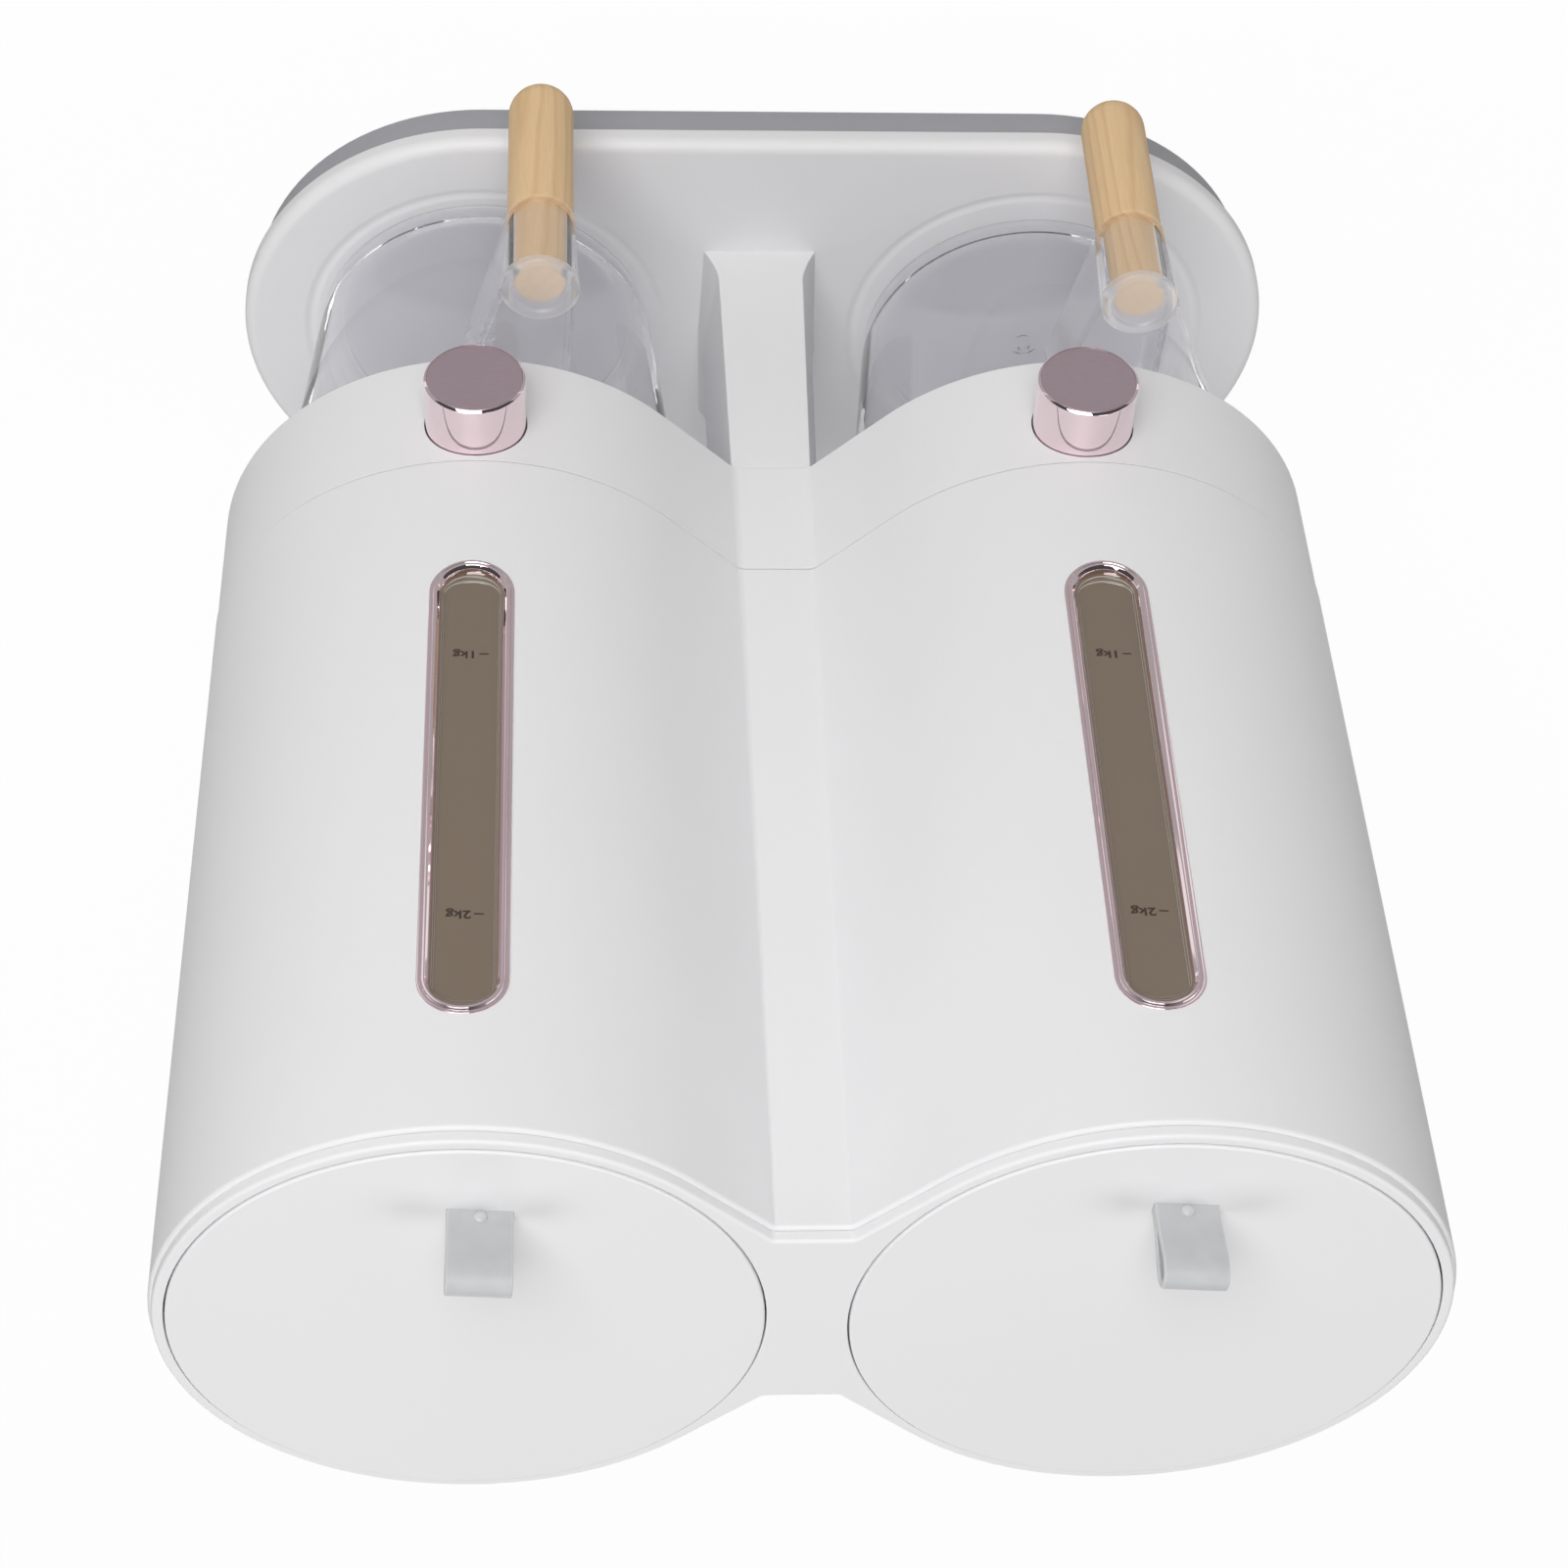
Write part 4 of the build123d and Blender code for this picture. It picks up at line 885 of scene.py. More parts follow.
upright = put(
    bezel_tree, "GeometryNodeSetCurveNormal", moved, options={"mode": "FREE"}, Normal=kept.outputs[1]
).outputs[0]
moulding = put(bezel_tree, "GeometryNodeObjectInfo", given["Section"]).outputs["Geometry"]
moulding = put(bezel_tree, "GeometryNodeMeshToCurve", moulding).outputs[0]
ring = put(bezel_tree, "GeometryNodeCurveToMesh", upright, moulding).outputs[0]
close_tree(bezel_tree, ring, given["Finish"], output)

# %% Window frames
FRAME_SECTION = [
    (-0.3, -0.15, 0.0), (-0.3, 0.42, 0.25), (0.45, 0.42, 0.1), (0.62, 0.22, 0.1), (1.0, 0.8, 0.25),
    (1.75, 0.85, 0.4), (2.45, -0.1, 0.8), (2.65, -1.5, 0.0), (1.15, -1.5, 0.0), (1.15, -0.15, 0.0),
]
frame_profile = rounded(FRAME_SECTION, 6)
section = loose("section", edge_loop([(out * MM, -across * MM, 0) for across, out in frame_profile]))
for hand, side in HANDS:
    loop = edge_loop([(x, 0, WINDOW_MIDDLE + z) for x, z in stadium(0.0)])
    ring_mesh = run_tree(
        bezel_tree, loop, Barrel=side * BARREL_X, Radius=RIM_RADIUS - (RIM - WINDOW_MIDDLE) * DRAFT,
        Level=WINDOW_MIDDLE, Draft=DRAFT, Section=section, Finish=rose_chrome,
    )
    finish_piece(f"{hand}_frame", ring_mesh, rose_chrome, "dispenser", f"{hand}_window_bezel")
bpy.data.objects.remove(section)

# %% [markdown]
# ## Panes and level marks
# Inside each frame lies a smoky glossy pane with a stepped border: rings of the same stadium,
# drawn in further and further, on the barrel's round face. The marks are text, turned into a
# mesh, stood upright and laid on the pane.

# %% Panes
# Each step of the border: side and end border, bow of the ends, depth, and how much painted highlight it
# carries.
PANE_DEPTH = 2.27
PANE_STEPS = [
    (2.3, 2.3, 8.1, 3.6, 0), (2.3, 2.3, 8.1, 1.25, 0), (2.7, 2.8, 7.5, 1.2, 0), (3.0, 3.7, 6.4, 1.2, 0),
    (3.08, 3.85, 6.2, 1.26, 1), (3.2, 4.05, 5.9, 1.65, 0), (3.26, 4.15, 5.8, 1.72, 0),
    (3.45, 4.9, 4.5, 1.75, 0), (3.52, 5.05, 4.3, 1.82, 1), (3.6, 5.2, 4.1, 2.15, 0.4),
    (3.68, 5.35, 3.95, 2.25, 0), (3.8, 5.5, 3.8, PANE_DEPTH, 0),
]
FIELD_STEPS = 4


def on_barrel(side, x, z, proud):
    """Place on the front of a barrel's outside, across and up from its axis, and that far proud of it."""
    radius = RIM_RADIUS - (RIM - z) * DRAFT + proud
    return Vector((x, -math.sqrt(radius**2 - x**2), z)) + Vector((side * BARREL_X, 0, 0))


pane_rings = [(*step, 1.0) for step in PANE_STEPS]
pane_rings += [(*PANE_STEPS[-1], 1 - k / FIELD_STEPS) for k in range(1, FIELD_STEPS + 1)]
for hand, side in HANDS:
    pane = bmesh.new()
    # Painted highlight on the border's edges, kept on each vertex for the pane's material.
    lit_edge = pane.verts.layers.float.new("lit_edge")
    rings = []
    for border, end_border, bow, depth, lit, narrow in pane_rings:
        ring = []
        for x, z in stadium(border * MM, end_border * MM, bow * MM):
            ring.append(pane.verts.new(on_barrel(side, x * narrow, WINDOW_MIDDLE + z, -depth * MM)))
            ring[-1][lit_edge] = lit
        rings.append(ring)
    join_rings(pane, rings, caps=(0,))
    finish_piece(f"{hand}_pane", mesh_from(pane), smoky_pane, "dispenser", f"{hand}_window_lens", sharp=40)

# %% Level marks
MARK_HEIGHT = 4.0 * MM
MARK_FLATTEN = 0.85
MARK_STROKE = 0.024
MARK_LEVELS = (("1kg", 216.2 * MM), ("2kg", 299.6 * MM))
INK_PROUD = 0.04 * MM


def text_mesh(words, size):
    """Flat text as a mesh, in a slightly bold cut with a short word space."""
    curve = bpy.data.curves.new("words", "FONT")
    curve.body = words
    curve.size = size
    curve.align_x = "CENTER"
    curve.align_y = "CENTER"
    curve.offset = MARK_STROKE * size
    curve.space_character = 1.06
    curve.space_word = 0.5
    return evaluated_mesh(loose("words", curve))


for hand, side in HANDS:
    marks = bmesh.new()
    for words, level in MARK_LEVELS:
        start = len(marks.verts)
        marks.from_mesh(text_mesh("– " + words, MARK_HEIGHT))
        marks.verts.ensure_lookup_table()
        for vert in marks.verts[start:]:
            up = level + MARK_FLATTEN * vert.co.y
            vert.co = on_barrel(side, vert.co.x, up, INK_PROUD - PANE_DEPTH * MM)
    finish_piece(f"{hand}_level_marks", mesh_from(marks, outward=False), mark_ink, "dispenser")

# %% [markdown]
# ## Push buttons
# Each button is a plated cap with a mirror chamfer round a satin face. Both are turned on the
# lathe, then laid along the barrel's depth. The face is a piece of its own, so that it can be
# satin while the cap stays a mirror.

# %% Buttons
BUTTON_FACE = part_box("left_button")[0].y
BUTTON_LENGTH = (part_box("left_button")[1].y - BUTTON_FACE) / MM
FLANGE = BUTTON_LENGTH - 2.0
cap_profile = rounded([
    (12.45, 0.5, 0.0), (12.55, 0.0, 0.08), (13.2, 0.6, 0.25), (13.2, FLANGE, 0.0), (15.1, FLANGE, 0.2),
    (15.1, BUTTON_LENGTH, 0.2), (11.4, BUTTON_LENGTH, 0.0), (11.4, 2.0, 0.0), (12.45, 1.8, 0.0),
], 4)
face_profile = [(0.0, 0.12), (6.0, 0.11), (12.3, 0.08), (12.47, 0.2), (12.47, 1.75), (0.0, 1.75)]
for hand, side in HANDS:
    body = f"{hand}_button"
    lay = Matrix.Translation((side * BARREL_X, BUTTON_FACE, BUTTON_AXIS))
    lay = lay @ Matrix.Rotation(-math.pi / 2, 4, "X")
    cap = bmesh.new()
    lathe(cap, cap_profile, turn=144, place=lay)
    finish_piece(f"{hand}_button_cap", mesh_from(cap), rose_chrome, body, f"{hand}_button", sharp=30)
    face = bmesh.new()
    lathe(face, face_profile, turn=144, closed=False, place=lay)
    finish_piece(f"{hand}_button_face", mesh_from(face), satin_mauve, body, sharp=30)

# %% [markdown]
# ## Straps and rivets
# Each lid lifts by a strap: one strip of coated leather, folded into a loop and riveted at its
# foot. A strip bends along its length and stays straight across, so its side view is drawn
# once as a smooth curve, and a thin section with soft cut edges is carried along it.

# %% The strap's side view and section
STRAP_HALF_WIDTH = 7.5
STRAP_HALF_THICK = 0.9
STRAP_ROUND = 0.42
CUT_EDGE = 0.3
STRAP_REACH = 46.0 * MM
LID_TURN = math.radians(-5)
STRAP_SIDE = [
    (-0.92, -2.3), (-0.92, -0.5), (-0.92, 1.2), (-1.0, 3.2), (-1.25, 5.6), (-1.7, 8.4), (-2.2, 11.3),
    (-2.65, 14.2), (-2.8, 16.6), (-2.35, 18.6), (-1.3, 19.85), (0.1, 20.2), (1.5, 19.85), (2.65, 18.6),
    (3.2, 16.6), (3.0, 14.0), (2.4, 11.2), (1.7, 8.3), (1.15, 5.6), (0.95, 3.4), (0.92, 1.2), (0.92, -0.5),
    (0.92, -2.3),
]


def smooth_through(points, steps):
    """Smooth curve through points, each span a cubic that leaves along its neighbours."""
    spots = [Vector(p) for p in points]
    spots = [2 * spots[0] - spots[1]] + spots + [2 * spots[-1] - spots[-2]]
    curve = []
    for a, b, c, d in zip(spots, spots[1:], spots[2:], spots[3:]):
        for i in range(steps):
            t = i / steps
            spot = 2 * b + (c - a) * t
            spot = spot + (2 * a - 5 * b + 4 * c - d) * t**2
            spot = spot + (3 * b - a - 3 * c + d) * t**3
            curve.append(0.5 * spot)
    return curve + [spots[-2]]


strap_section = rounded([
    (sx * STRAP_HALF_WIDTH, sy * STRAP_HALF_THICK, STRAP_ROUND)
    for sx, sy in ((-1, -1), (1, -1), (1, 1), (-1, 1))
], 4)
side_view = smooth_through(STRAP_SIDE, 5)
print("strap points:", len(side_view), "by", len(strap_section))


# %% Straps
def place_lid(side):
    """Where a lid lies, turned a little as someone put it down."""
    return Matrix.Translation((side * BARREL_X, 0, LID_TOP)) @ Matrix.Rotation(LID_TURN, 4, "Z")


for hand, side in HANDS:
    foot = place_lid(side) @ Matrix.Translation((0, -STRAP_REACH, 0))
    strap = bmesh.new()
    cut_edge = strap.verts.layers.float.new("cut_edge")
    rings = []
    for i, spot in enumerate(side_view):
        ahead = (side_view[min(i + 1, len(side_view) - 1)] - side_view[max(i - 1, 0)]).normalized()
        across = Vector((-ahead.y, ahead.x))
        ring = []
        for width, thick in strap_section:
            y, z = spot + across * thick
            vert = strap.verts.new(foot @ Vector((width * MM, y * MM, z * MM)))
            vert[cut_edge] = 1.0 if abs(width) > STRAP_HALF_WIDTH - CUT_EDGE else 0.0
            ring.append(vert)
        rings.append(ring)
    join_rings(strap, rings, caps=(0, -1))
    body, node = f"{hand}_lid", f"{hand}_lid_strap"
    finish_piece(f"{hand}_strap", mesh_from(strap), strap_leather, body, node, sharp=50)

# %% [markdown]
# ## Repeated fasteners
# Rivet heads and screws repeat, so one tree places copies of a small part on the points of a
# mesh and turns each copy along that point's own direction. Real geometry comes out at the
# end, so that every copy becomes plain mesh and none stays an instance.

# %% The tree of the fasteners
fastener_tree, given, output = geometry_tree("fasteners", [("Part", "Object"), ("Finish", "Material")])
part = put(fastener_tree, "GeometryNodeObjectInfo", given["Part"]).outputs["Geometry"]
direction = put(
    fastener_tree, "GeometryNodeInputNamedAttribute", Name="direction", options={"data_type": "FLOAT_VECTOR"}
).outputs[0]
turned = put(
    fastener_tree, "FunctionNodeAlignRotationToVector", Vector=direction, options={"axis": "Z"}
).outputs[0]
points = put(fastener_tree, "GeometryNodeMeshToPoints", given["Geometry"]).outputs[0]
copies = put(
    fastener_tree, "GeometryNodeInstanceOnPoints", Points=points, Instance=part, Rotation=turned
).outputs[0]
close_tree(fastener_tree, copies, given["Finish"], output)


def place_fasteners(part_mesh, places, finish):
    """Mesh of one part copied to each (place, direction)."""
    spots = bpy.data.meshes.new("places")
    spots.from_pydata([p for p, _ in places], [], [])
    ways = spots.attributes.new("direction", "FLOAT_VECTOR", "POINT")
    for i, (_, way) in enumerate(places):
        ways.data[i].vector = way
    holder = loose("fastener", part_mesh)
    mesh = run_tree(fastener_tree, spots, Part=holder, Finish=finish)
    bpy.data.objects.remove(holder)
    return mesh


# %% Rivets
RIVET_HEIGHT = 1.9 * MM
RIVET_OUT = 1.8 * MM
RIVET_PROFILE = [
    (0.0, 0.9), (0.5, 0.87), (0.95, 0.78), (1.3, 0.6), (1.55, 0.36), (1.65, 0.1), (1.65, -0.05), (1.1, -0.05),
    (1.1, -1.82), (0.0, -1.82),
]
rivet_form = bmesh.new()
lathe(rivet_form, RIVET_PROFILE, turn=28, closed=False)
rivet_mesh = mesh_from(rivet_form)
for hand, side in HANDS:
    on_lid = place_lid(side)
    places = []
    for way in (-1, 1):
        spot = on_lid @ Vector((0, -STRAP_REACH + way * RIVET_OUT, RIVET_HEIGHT))
        places.append((spot, on_lid.to_3x3() @ Vector((0, way, 0))))
    rivets = place_fasteners(rivet_mesh, places, rivet_gloss)
    finish_piece(f"{hand}_rivet", rivets, rivet_gloss, f"{hand}_lid", f"{hand}_strap_rivet")

# %% Screws
SCREW_RADIUS = 1.5
SCREW_CORE = 1.22
THREAD_PITCH = 0.7
HEAD_HEIGHT = 1.8
HEAD_TOP = 1.75
RECESS = (3.0 * MM, 0.6 * MM, 1.6 * MM)


def four_corners(x, y):
    """Places at the four corners of a rectangle round the origin."""
    return [(sx * x, sy * y) for sx in (-1, 1) for sy in (-1, 1)]


def screw_mesh(length):
    """Pan-head screw that points up from its head, with a cross recess and a thread."""
    form = bmesh.new()
    profile = [(0.0, -HEAD_TOP), (1.2, -1.72), (2.1, -1.5), (2.6, -1.05), (2.8, -0.4), (2.75, 0.0)]
    profile.append((SCREW_RADIUS, 0.0))
    for i in range(int((length - 1.5) / THREAD_PITCH)):
        base = 0.8 + THREAD_PITCH * i
        profile += [(SCREW_CORE, base), (SCREW_CORE, base + 0.25), (SCREW_RADIUS, base + 0.45)]
    profile += [(1.1, length - 0.5), (0.0, length)]
    lathe(form, profile, turn=20, closed=False)
    body = loose("screw", mesh_from(form))
    recess_form = bmesh.new()
    for spin in (0, math.pi / 2):
        blade = Matrix.Rotation(spin, 4, "Z") @ Matrix.Translation((0, 0, -HEAD_TOP * MM))
        bmesh.ops.create_cube(recess_form, size=1.0, matrix=blade @ Matrix.Diagonal((*RECESS, 1)))
    recess_mesh = bpy.data.meshes.new("recess")
    recess_form.to_mesh(recess_mesh)
    recess_form.free()
    recess = loose("recess", recess_mesh)
    cut = body.modifiers.new("cross", "BOOLEAN")
    cut.operation = "DIFFERENCE"
    cut.object = recess
    cut.use_self = True
    mesh = evaluated_mesh(body)
    bpy.data.objects.remove(recess)
    return mesh


screw_sets = {
    "base_screws": (1, four_corners(9, 19)),
    "pillar_screws": (-1, four_corners(9, 19)),
    "cover_screws": (1, four_corners(125, 40)),
    "guide_screws": (-1, [(sx * 80 + hx * 28.5, 20) for sx in (-1, 1) for hx in (-1, 1)]),
}
for name, (way, plan_places) in screw_sets.items():
    low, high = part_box(name)
    seat = low.z + HEAD_HEIGHT * MM if way > 0 else high.z - HEAD_HEIGHT * MM
    length = (high.z - low.z) / MM - HEAD_HEIGHT
    places = [((x * MM, y * MM, seat), (0, 0, way)) for x, y in plan_places]
    screws = place_fasteners(screw_mesh(length), places, plated_steel)
    finish_piece(name.replace("_screws", "_screw_set"), screws, plated_steel, "dispenser", name)

# %% [markdown]
# ## Springs
# A coil spring pushes each button out again. A spiral curve with a round wire swept along it
# is all it takes.

# %% Springs
SPRING_RADIUS = 4.0 * MM
SPRING_TURNS = 6.0
WIRE = 1.0 * MM
spring_tree, given, output = geometry_tree("coil_spring", [
    ("Radius", "Float"), ("Wire", "Float"), ("Turns", "Float"), ("Length", "Float"), ("Start", "Vector"),
    ("Finish", "Material"),
])
coil = put(
    spring_tree, "GeometryNodeCurveSpiral", Resolution=32, Rotations=given["Turns"],
    Start_Radius=given["Radius"], End_Radius=given["Radius"], Height=given["Length"],
).outputs[0]
wire_radius = calc(spring_tree, "MULTIPLY", given["Wire"], 0.5)
wire = put(spring_tree, "GeometryNodeCurvePrimitiveCircle", Resolution=12, Radius=wire_radius).outputs[0]
wound = put(spring_tree, "GeometryNodeCurveToMesh", coil, wire, Fill_Caps=True).outputs[0]
laid = put(
    spring_tree, "GeometryNodeTransform", wound, Translation=given["Start"], Rotation=(-math.pi / 2, 0, 0)
).outputs[0]
close_tree(spring_tree, laid, given["Finish"], output)
for hand, side in HANDS:
    low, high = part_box(f"{hand}_button_spring")
    spring_mesh = run_tree(
        spring_tree, bpy.data.meshes.new("seed"), Radius=SPRING_RADIUS, Wire=WIRE, Turns=SPRING_TURNS,
        Length=high.y - low.y - WIRE, Start=(side * BARREL_X, low.y + WIRE / 2, BUTTON_AXIS),
        Finish=plated_steel,
    )
    spring = finish_piece(f"{hand}_spring", spring_mesh, plated_steel, "dispenser", f"{hand}_button_spring")
    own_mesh(spring)

# %% [markdown]
# ## Cups
# A cup is moulded clear and thin, with a rounded foot, a small boss where the melt came in, and
# a socket for its handle on two webs that spread towards the wall. The bowl and socket are
# turned. The webs are plates with soft edges that reach a little way into socket and wall.

# %% Shapes of the cup
CUP_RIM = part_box("left_cup")[1].z / MM
CUP_LOW = PLATE_TOP / MM
HANDLE_REACH = 88.1
SOCKET_LOW = CUP_RIM - 28.0
SOCKET_TOP = CUP_RIM - 2.6
CAP_LOW = CUP_RIM - 2.55
CAP_TOP = CUP_RIM - 0.02
CAP_DISH = CUP_RIM - 0.9
WEB_TOP = CUP_RIM - 2.7
WEB_THICK = 1.8
WEB_AT_SOCKET = 8.65
WEB_SPREAD = 0.14
WEB_ROUND = 0.35 * MM
at_socket = Matrix.Translation((0, -HANDLE_REACH * MM, 0))
bowl_profile = rounded([
    (0.0, CUP_LOW + 0.5, 0.0), (41.5, CUP_LOW + 0.5, 0.3), (42.3, CUP_LOW, 0.4), (47.72, CUP_LOW, 5.0),
    (56.5, CUP_RIM, 0.9), (54.3, CUP_RIM, 0.9), (45.75, CUP_LOW + 2.2, 8.0), (4.6, CUP_LOW + 2.2, 0.3),
    (4.3, CUP_LOW + 3.7, 0.6), (3.1, CUP_LOW + 3.7, 0.5), (2.8, CUP_LOW + 2.6, 0.3),
    (2.1, CUP_LOW + 2.6, 0.3), (1.8, CUP_LOW + 5.4, 0.8), (0.0, CUP_LOW + 5.6, 0.0),
], 8)
sleeve_profile = rounded([
    (7.1, SOCKET_TOP, 0.0), (7.1, SOCKET_LOW, 0.3), (9.4, SOCKET_LOW, 0.4), (10.2, SOCKET_TOP, 0.0),
], 4)
socket_cap_profile = rounded([
    (0.0, CAP_LOW, 0.0), (10.3, CAP_LOW, 0.3), (10.8, CAP_TOP, 1.0), (7.9, CAP_TOP, 0.6),
    (7.3, CAP_DISH, 0.4), (0.0, CAP_DISH, 0.0),
], 5)
web_outline = [
    (-53.3, CUP_RIM - 0.6), (-76.0, WEB_TOP), (-HANDLE_REACH, WEB_TOP), (-HANDLE_REACH, SOCKET_LOW + 1.0),
    (-51.6, SOCKET_LOW + 10.0),
]
print("cup from", round(CUP_LOW, 1), "to", round(CUP_RIM, 1), "mm")

# %% Cups
CUP_TURN = math.radians(-11)
CUP_SEATS = {"left": 1.0 * MM, "right": -3.2 * MM}


def place_cup(hand, side):
    """Where a cup stands, turned a little as someone put it down."""
    return Matrix.Translation((side * BARREL_X, CUP_SEATS[hand], 0)) @ Matrix.Rotation(CUP_TURN, 4, "Z")


cup_form = bmesh.new()
lathe(cup_form, bowl_profile, turn=144, closed=False)
lathe(cup_form, sleeve_profile, turn=96, place=at_socket)
plain_cup = mesh_from(cup_form)
web_form = bmesh.new()
for way in (-1, 1):
    rings = []
    for edge in (-WEB_THICK / 2, WEB_THICK / 2):
        ring = []
        for y, z in web_outline:
            out = WEB_AT_SOCKET + WEB_SPREAD * (y + HANDLE_REACH) + edge
            ring.append(web_form.verts.new((way * out * MM, y * MM, z * MM)))
        rings.append(ring)
    join_rings(web_form, rings, caps=(0, 1))
bmesh.ops.bevel(web_form, geom=web_form.edges[:], offset=WEB_ROUND, segments=2, affect="EDGES")
plain_webs = mesh_from(web_form)
for hand, side in HANDS:
    body = f"{hand}_cup"
    cup_mesh, web_mesh = plain_cup.copy(), plain_webs.copy()
    for mesh in (cup_mesh, web_mesh):
        mesh.transform(place_cup(hand, side))
    finish_piece(f"{hand}_clear_cup", cup_mesh, cup_clear, body, f"{hand}_cup", sharp=32)
    finish_piece(f"{hand}_cup_webs", web_mesh, web_clear, body)
    cap = bmesh.new()
    lathe(cap, socket_cap_profile, turn=96, closed=False, place=place_cup(hand, side) @ at_socket)
    finish_piece(f"{hand}_socket_cap", mesh_from(cap), cap_frost, body, sharp=50)

# %% [markdown]
# ## Handles
# Each handle is one turned dowel: a slim spigot that fills the socket, a rounded shoulder, and
# a bullet end that a hand slides along.

# %% Handles
HANDLE_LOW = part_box("left_cup_handle")[0].z / MM
HANDLE_RADIUS = 8.95
SHOULDER = SOCKET_LOW - 0.05
SPIGOT_RADIUS = 6.9
SPIGOT_TOP = min(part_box("left_cup_handle")[1].z / MM, WEB_TOP)
dowel_profile = rounded([
    (0.0, HANDLE_LOW, 0.0), (HANDLE_RADIUS, HANDLE_LOW, 8.1), (HANDLE_RADIUS, SHOULDER, 0.9),
    (SPIGOT_RADIUS, SHOULDER, 0.0), (SPIGOT_RADIUS, SPIGOT_TOP, 0.5), (0.0, SPIGOT_TOP, 0.0),
], 9)
for hand, side in HANDS:
    dowel = bmesh.new()
    lathe(dowel, dowel_profile, turn=72, closed=False, place=place_cup(hand, side) @ at_socket)
    finish_piece(f"{hand}_handle", mesh_from(dowel), pine, f"{hand}_cup", f"{hand}_cup_handle", sharp=50)

# %% [markdown]
# ## The base plate
# The plate has the same round ends as the tray below it, a full round on its upper edge, and
# a soft ring groove that marks the seat of each cup. The edge is a section carried round a
# stadium, and the grooves are turned.

# %% Base plate
PLATE_RADIUS = 71.2 * MM
PLATE_ROUND = 3.5 * MM
PLATE_FOOT = ((2.0, 0.0), (0.6, 0.0), (0.18, 0.18), (0.0, 0.6))
GROOVE_CENTRE = 51.7
GROOVE_HALF = 2.2
GROOVE_DEPTH = 0.4
GROOVE_MARGIN = 0.8 * MM
SEAT_Y = -1.1 * MM


def plate_ring(form, inset, level, count=80):
    """Ring of vertices on the plate's round-ended outline."""
    radius = PLATE_RADIUS - inset
    ring = []
    for end in (1, -1):
        for i in range(count + 1):
            angle = -math.pi / 2 + math.pi * i / count
            across = end * (BARREL_X + radius * math.cos(angle))
            ring.append(form.verts.new((across, end * radius * math.sin(angle), level)))
    return ring


plate = bmesh.new()
edge = [(inset * MM, PLATE_LOW + up * MM) for inset, up in PLATE_FOOT]
for step in range(11):
    angle = math.pi / 2 * step / 10
    edge.append((PLATE_ROUND * (1 - math.cos(angle)), PLATE_TOP - PLATE_ROUND * (1 - math.sin(angle))))
edge += [(PLATE_ROUND + 0.4 * MM, PLATE_TOP), (PLATE_ROUND + 1.5 * MM, PLATE_TOP)]
rings = [plate_ring(plate, inset, level) for inset, level in edge]
join_rings(plate, rings, caps=(0,))
groove = []
for step in range(17):
    share = -1 + 2 * step / 16
    dip = GROOVE_DEPTH * (0.5 + 0.5 * math.cos(math.pi * share))
    groove.append(((GROOVE_CENTRE - share * GROOVE_HALF) * MM, PLATE_TOP - dip * MM))
groove = [(groove[0][0] + GROOVE_MARGIN, PLATE_TOP)] + groove + [(groove[-1][0] - GROOVE_MARGIN, PLATE_TOP)]
tops = [rings[-1]]
for _, side in HANDS:
    seat = Matrix.Translation((side * BARREL_X, SEAT_Y, 0))
    seat_rings = lathe(plate, groove, turn=128, closed=False, place=seat, unit=1)
    tops.append(seat_rings[0])
    plate.faces.new(seat_rings[-1])
fill_flat(plate, tops, 1)
finish_piece("plate", mesh_from(plate), white_plastic, "dispenser", "base_plate", sharp=35)

# %% [markdown]
# ## The pillar
# One pillar carries the barrels. It is narrow in front, widens towards its middle, and its
# sides run out onto the plate in a hollow curve. The plan is a long hexagon, and rings of it
# at rising levels make the skin: close together in the curve, far apart above it.

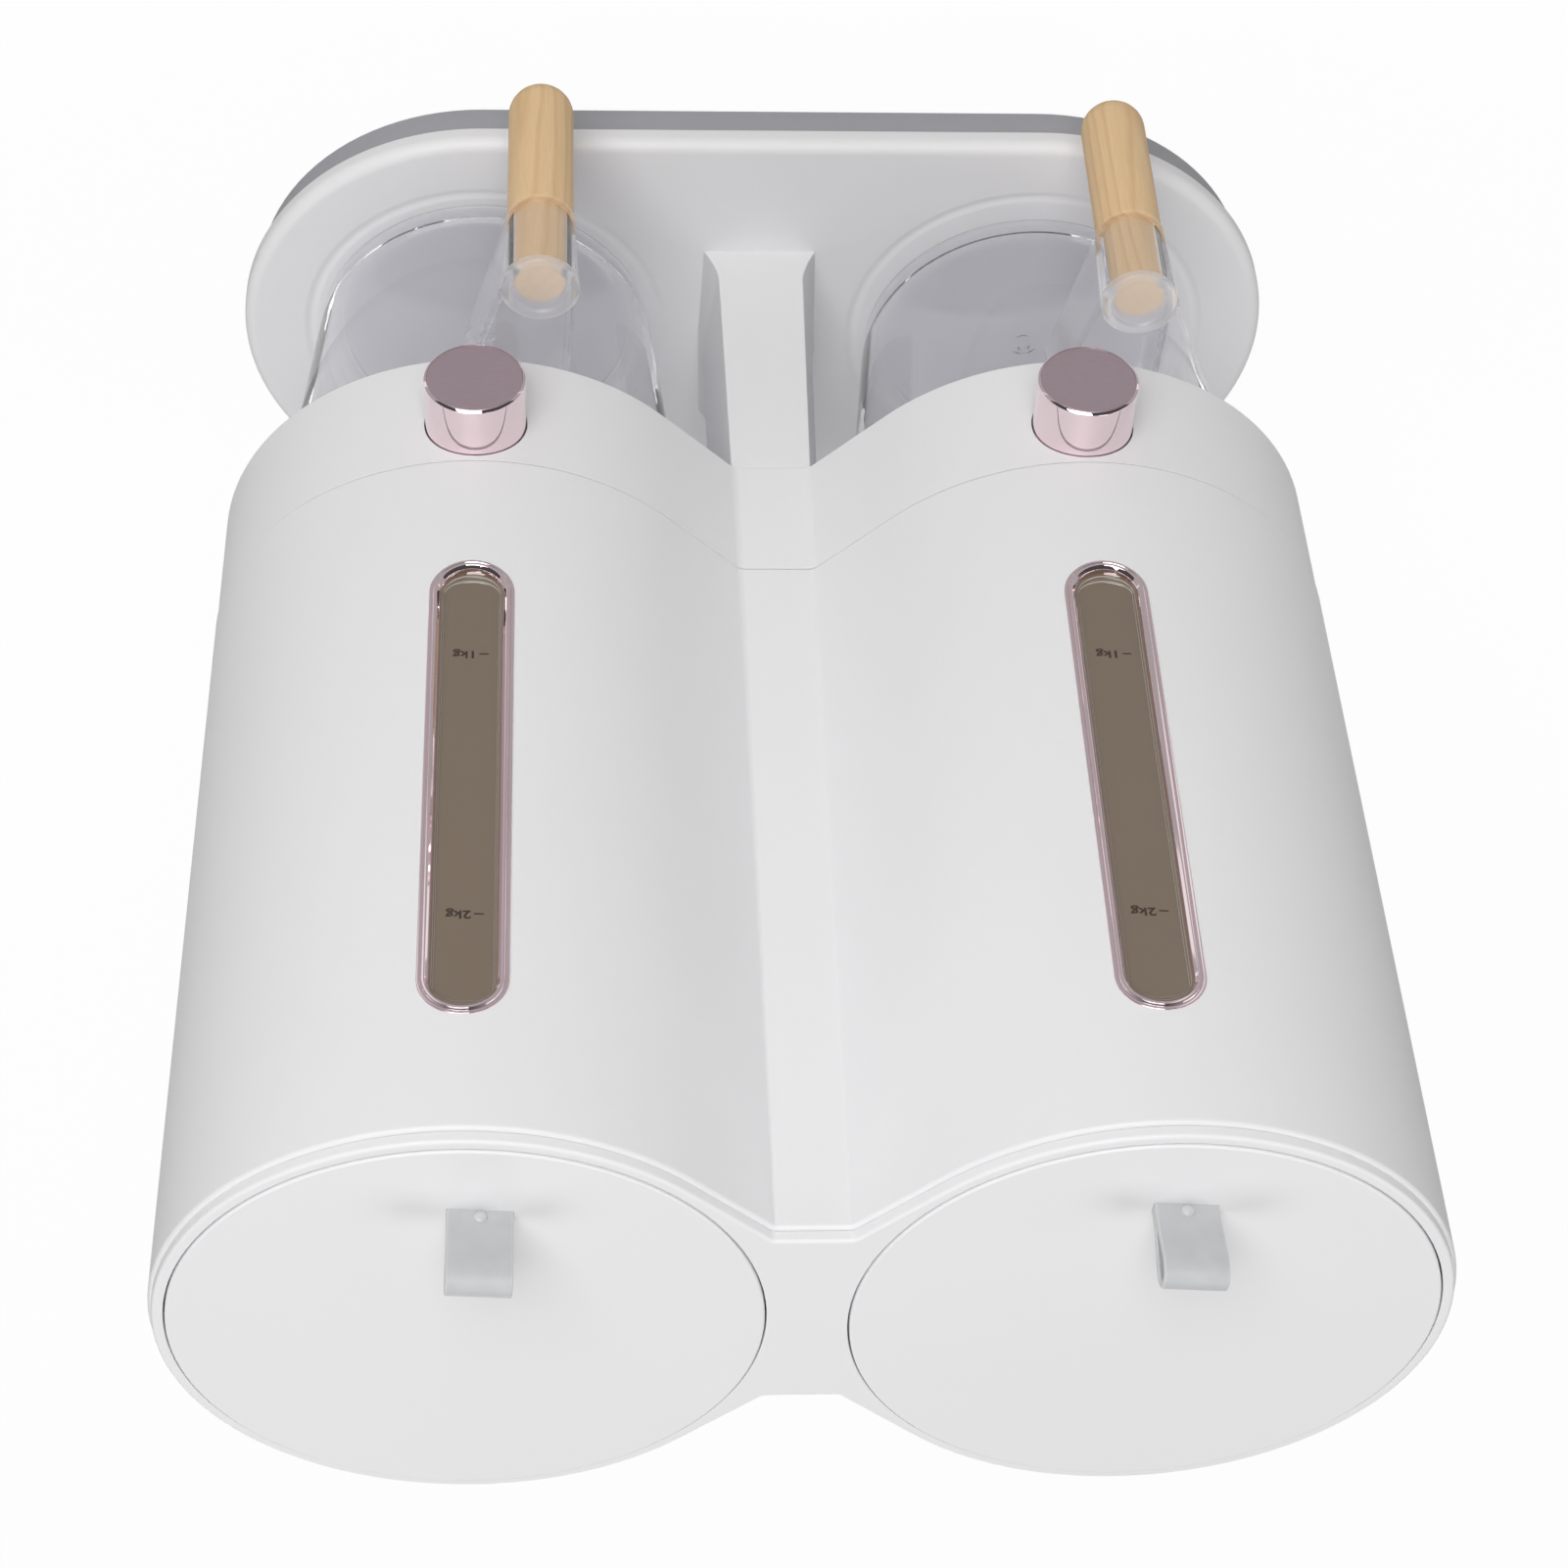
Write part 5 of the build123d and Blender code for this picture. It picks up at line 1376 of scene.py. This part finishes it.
# %% Pillar
PILLAR_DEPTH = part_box("pillar")[1].y / MM
PILLAR_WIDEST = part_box("pillar")[1].x / MM
PILLAR_RISE = (COLLAR_LOW - PLATE_TOP) / MM
PILLAR_FRONT = 10.9
PILLAR_LEAN = 1.5
PILLAR_SPREAD = 4.1
PILLAR_TOE = 1.5
PILLAR_ROUND = 0.5
FLARE = 3.8
FLARE_RISE = 12.0
FLARE_STEPS = 14
FLARE_CROWDING = 1.4
FLARE_HOLLOW = 1.7
levels = [FLARE_RISE * (k / FLARE_STEPS) ** FLARE_CROWDING for k in range(FLARE_STEPS + 1)]
pillar = bmesh.new()
rings = []
for rise in levels + [30.0, 60.0, PILLAR_RISE]:
    below_top = 1 - rise / PILLAR_RISE
    front = PILLAR_FRONT + PILLAR_LEAN * below_top + FLARE * max(0.0, 1 - rise / FLARE_RISE) ** FLARE_HOLLOW
    middle = min(front + PILLAR_SPREAD, PILLAR_WIDEST)
    depth = PILLAR_DEPTH + PILLAR_TOE * below_top
    outline = rounded([
        (front, -depth, PILLAR_ROUND), (middle, 0.0, 0.0), (front, depth, PILLAR_ROUND),
        (-front, depth, PILLAR_ROUND), (-middle, 0.0, 0.0), (-front, -depth, PILLAR_ROUND),
    ], 4)
    rings.append([pillar.verts.new((x * MM, y * MM, PLATE_TOP + rise * MM)) for x, y in outline])
join_rings(pillar, rings, caps=(0, -1))
finish_piece("pillar_skin", mesh_from(pillar), white_plastic, "dispenser", "pillar", sharp=35)

# %% [markdown]
# ## The solids that stay
# Lids, seals, tray and the works inside are right as the CAD model has them. They keep
# their meshes, whose normals are exact, and only get the finishes made above.

# %% Finishes on the CAD nodes
kept_finishes = {
    white_plastic: ["bottom_cover", "left_lid", "right_lid"],
    tray_plastic: ["base_tray"],
    gate_plastic: ["left_gate", "right_gate", "left_gate_guide", "right_gate_guide"],
    hopper_plastic: ["left_hopper", "right_hopper", "left_funnel", "right_funnel"],
    seal_rubber: ["left_lid_seal", "right_lid_seal"],
}
for finish, names in kept_finishes.items():
    for name in names:
        for place in nodes[name].material_slots:
            place.material = finish
print("CAD nodes kept:", sum(len(names) for names in kept_finishes.values()))
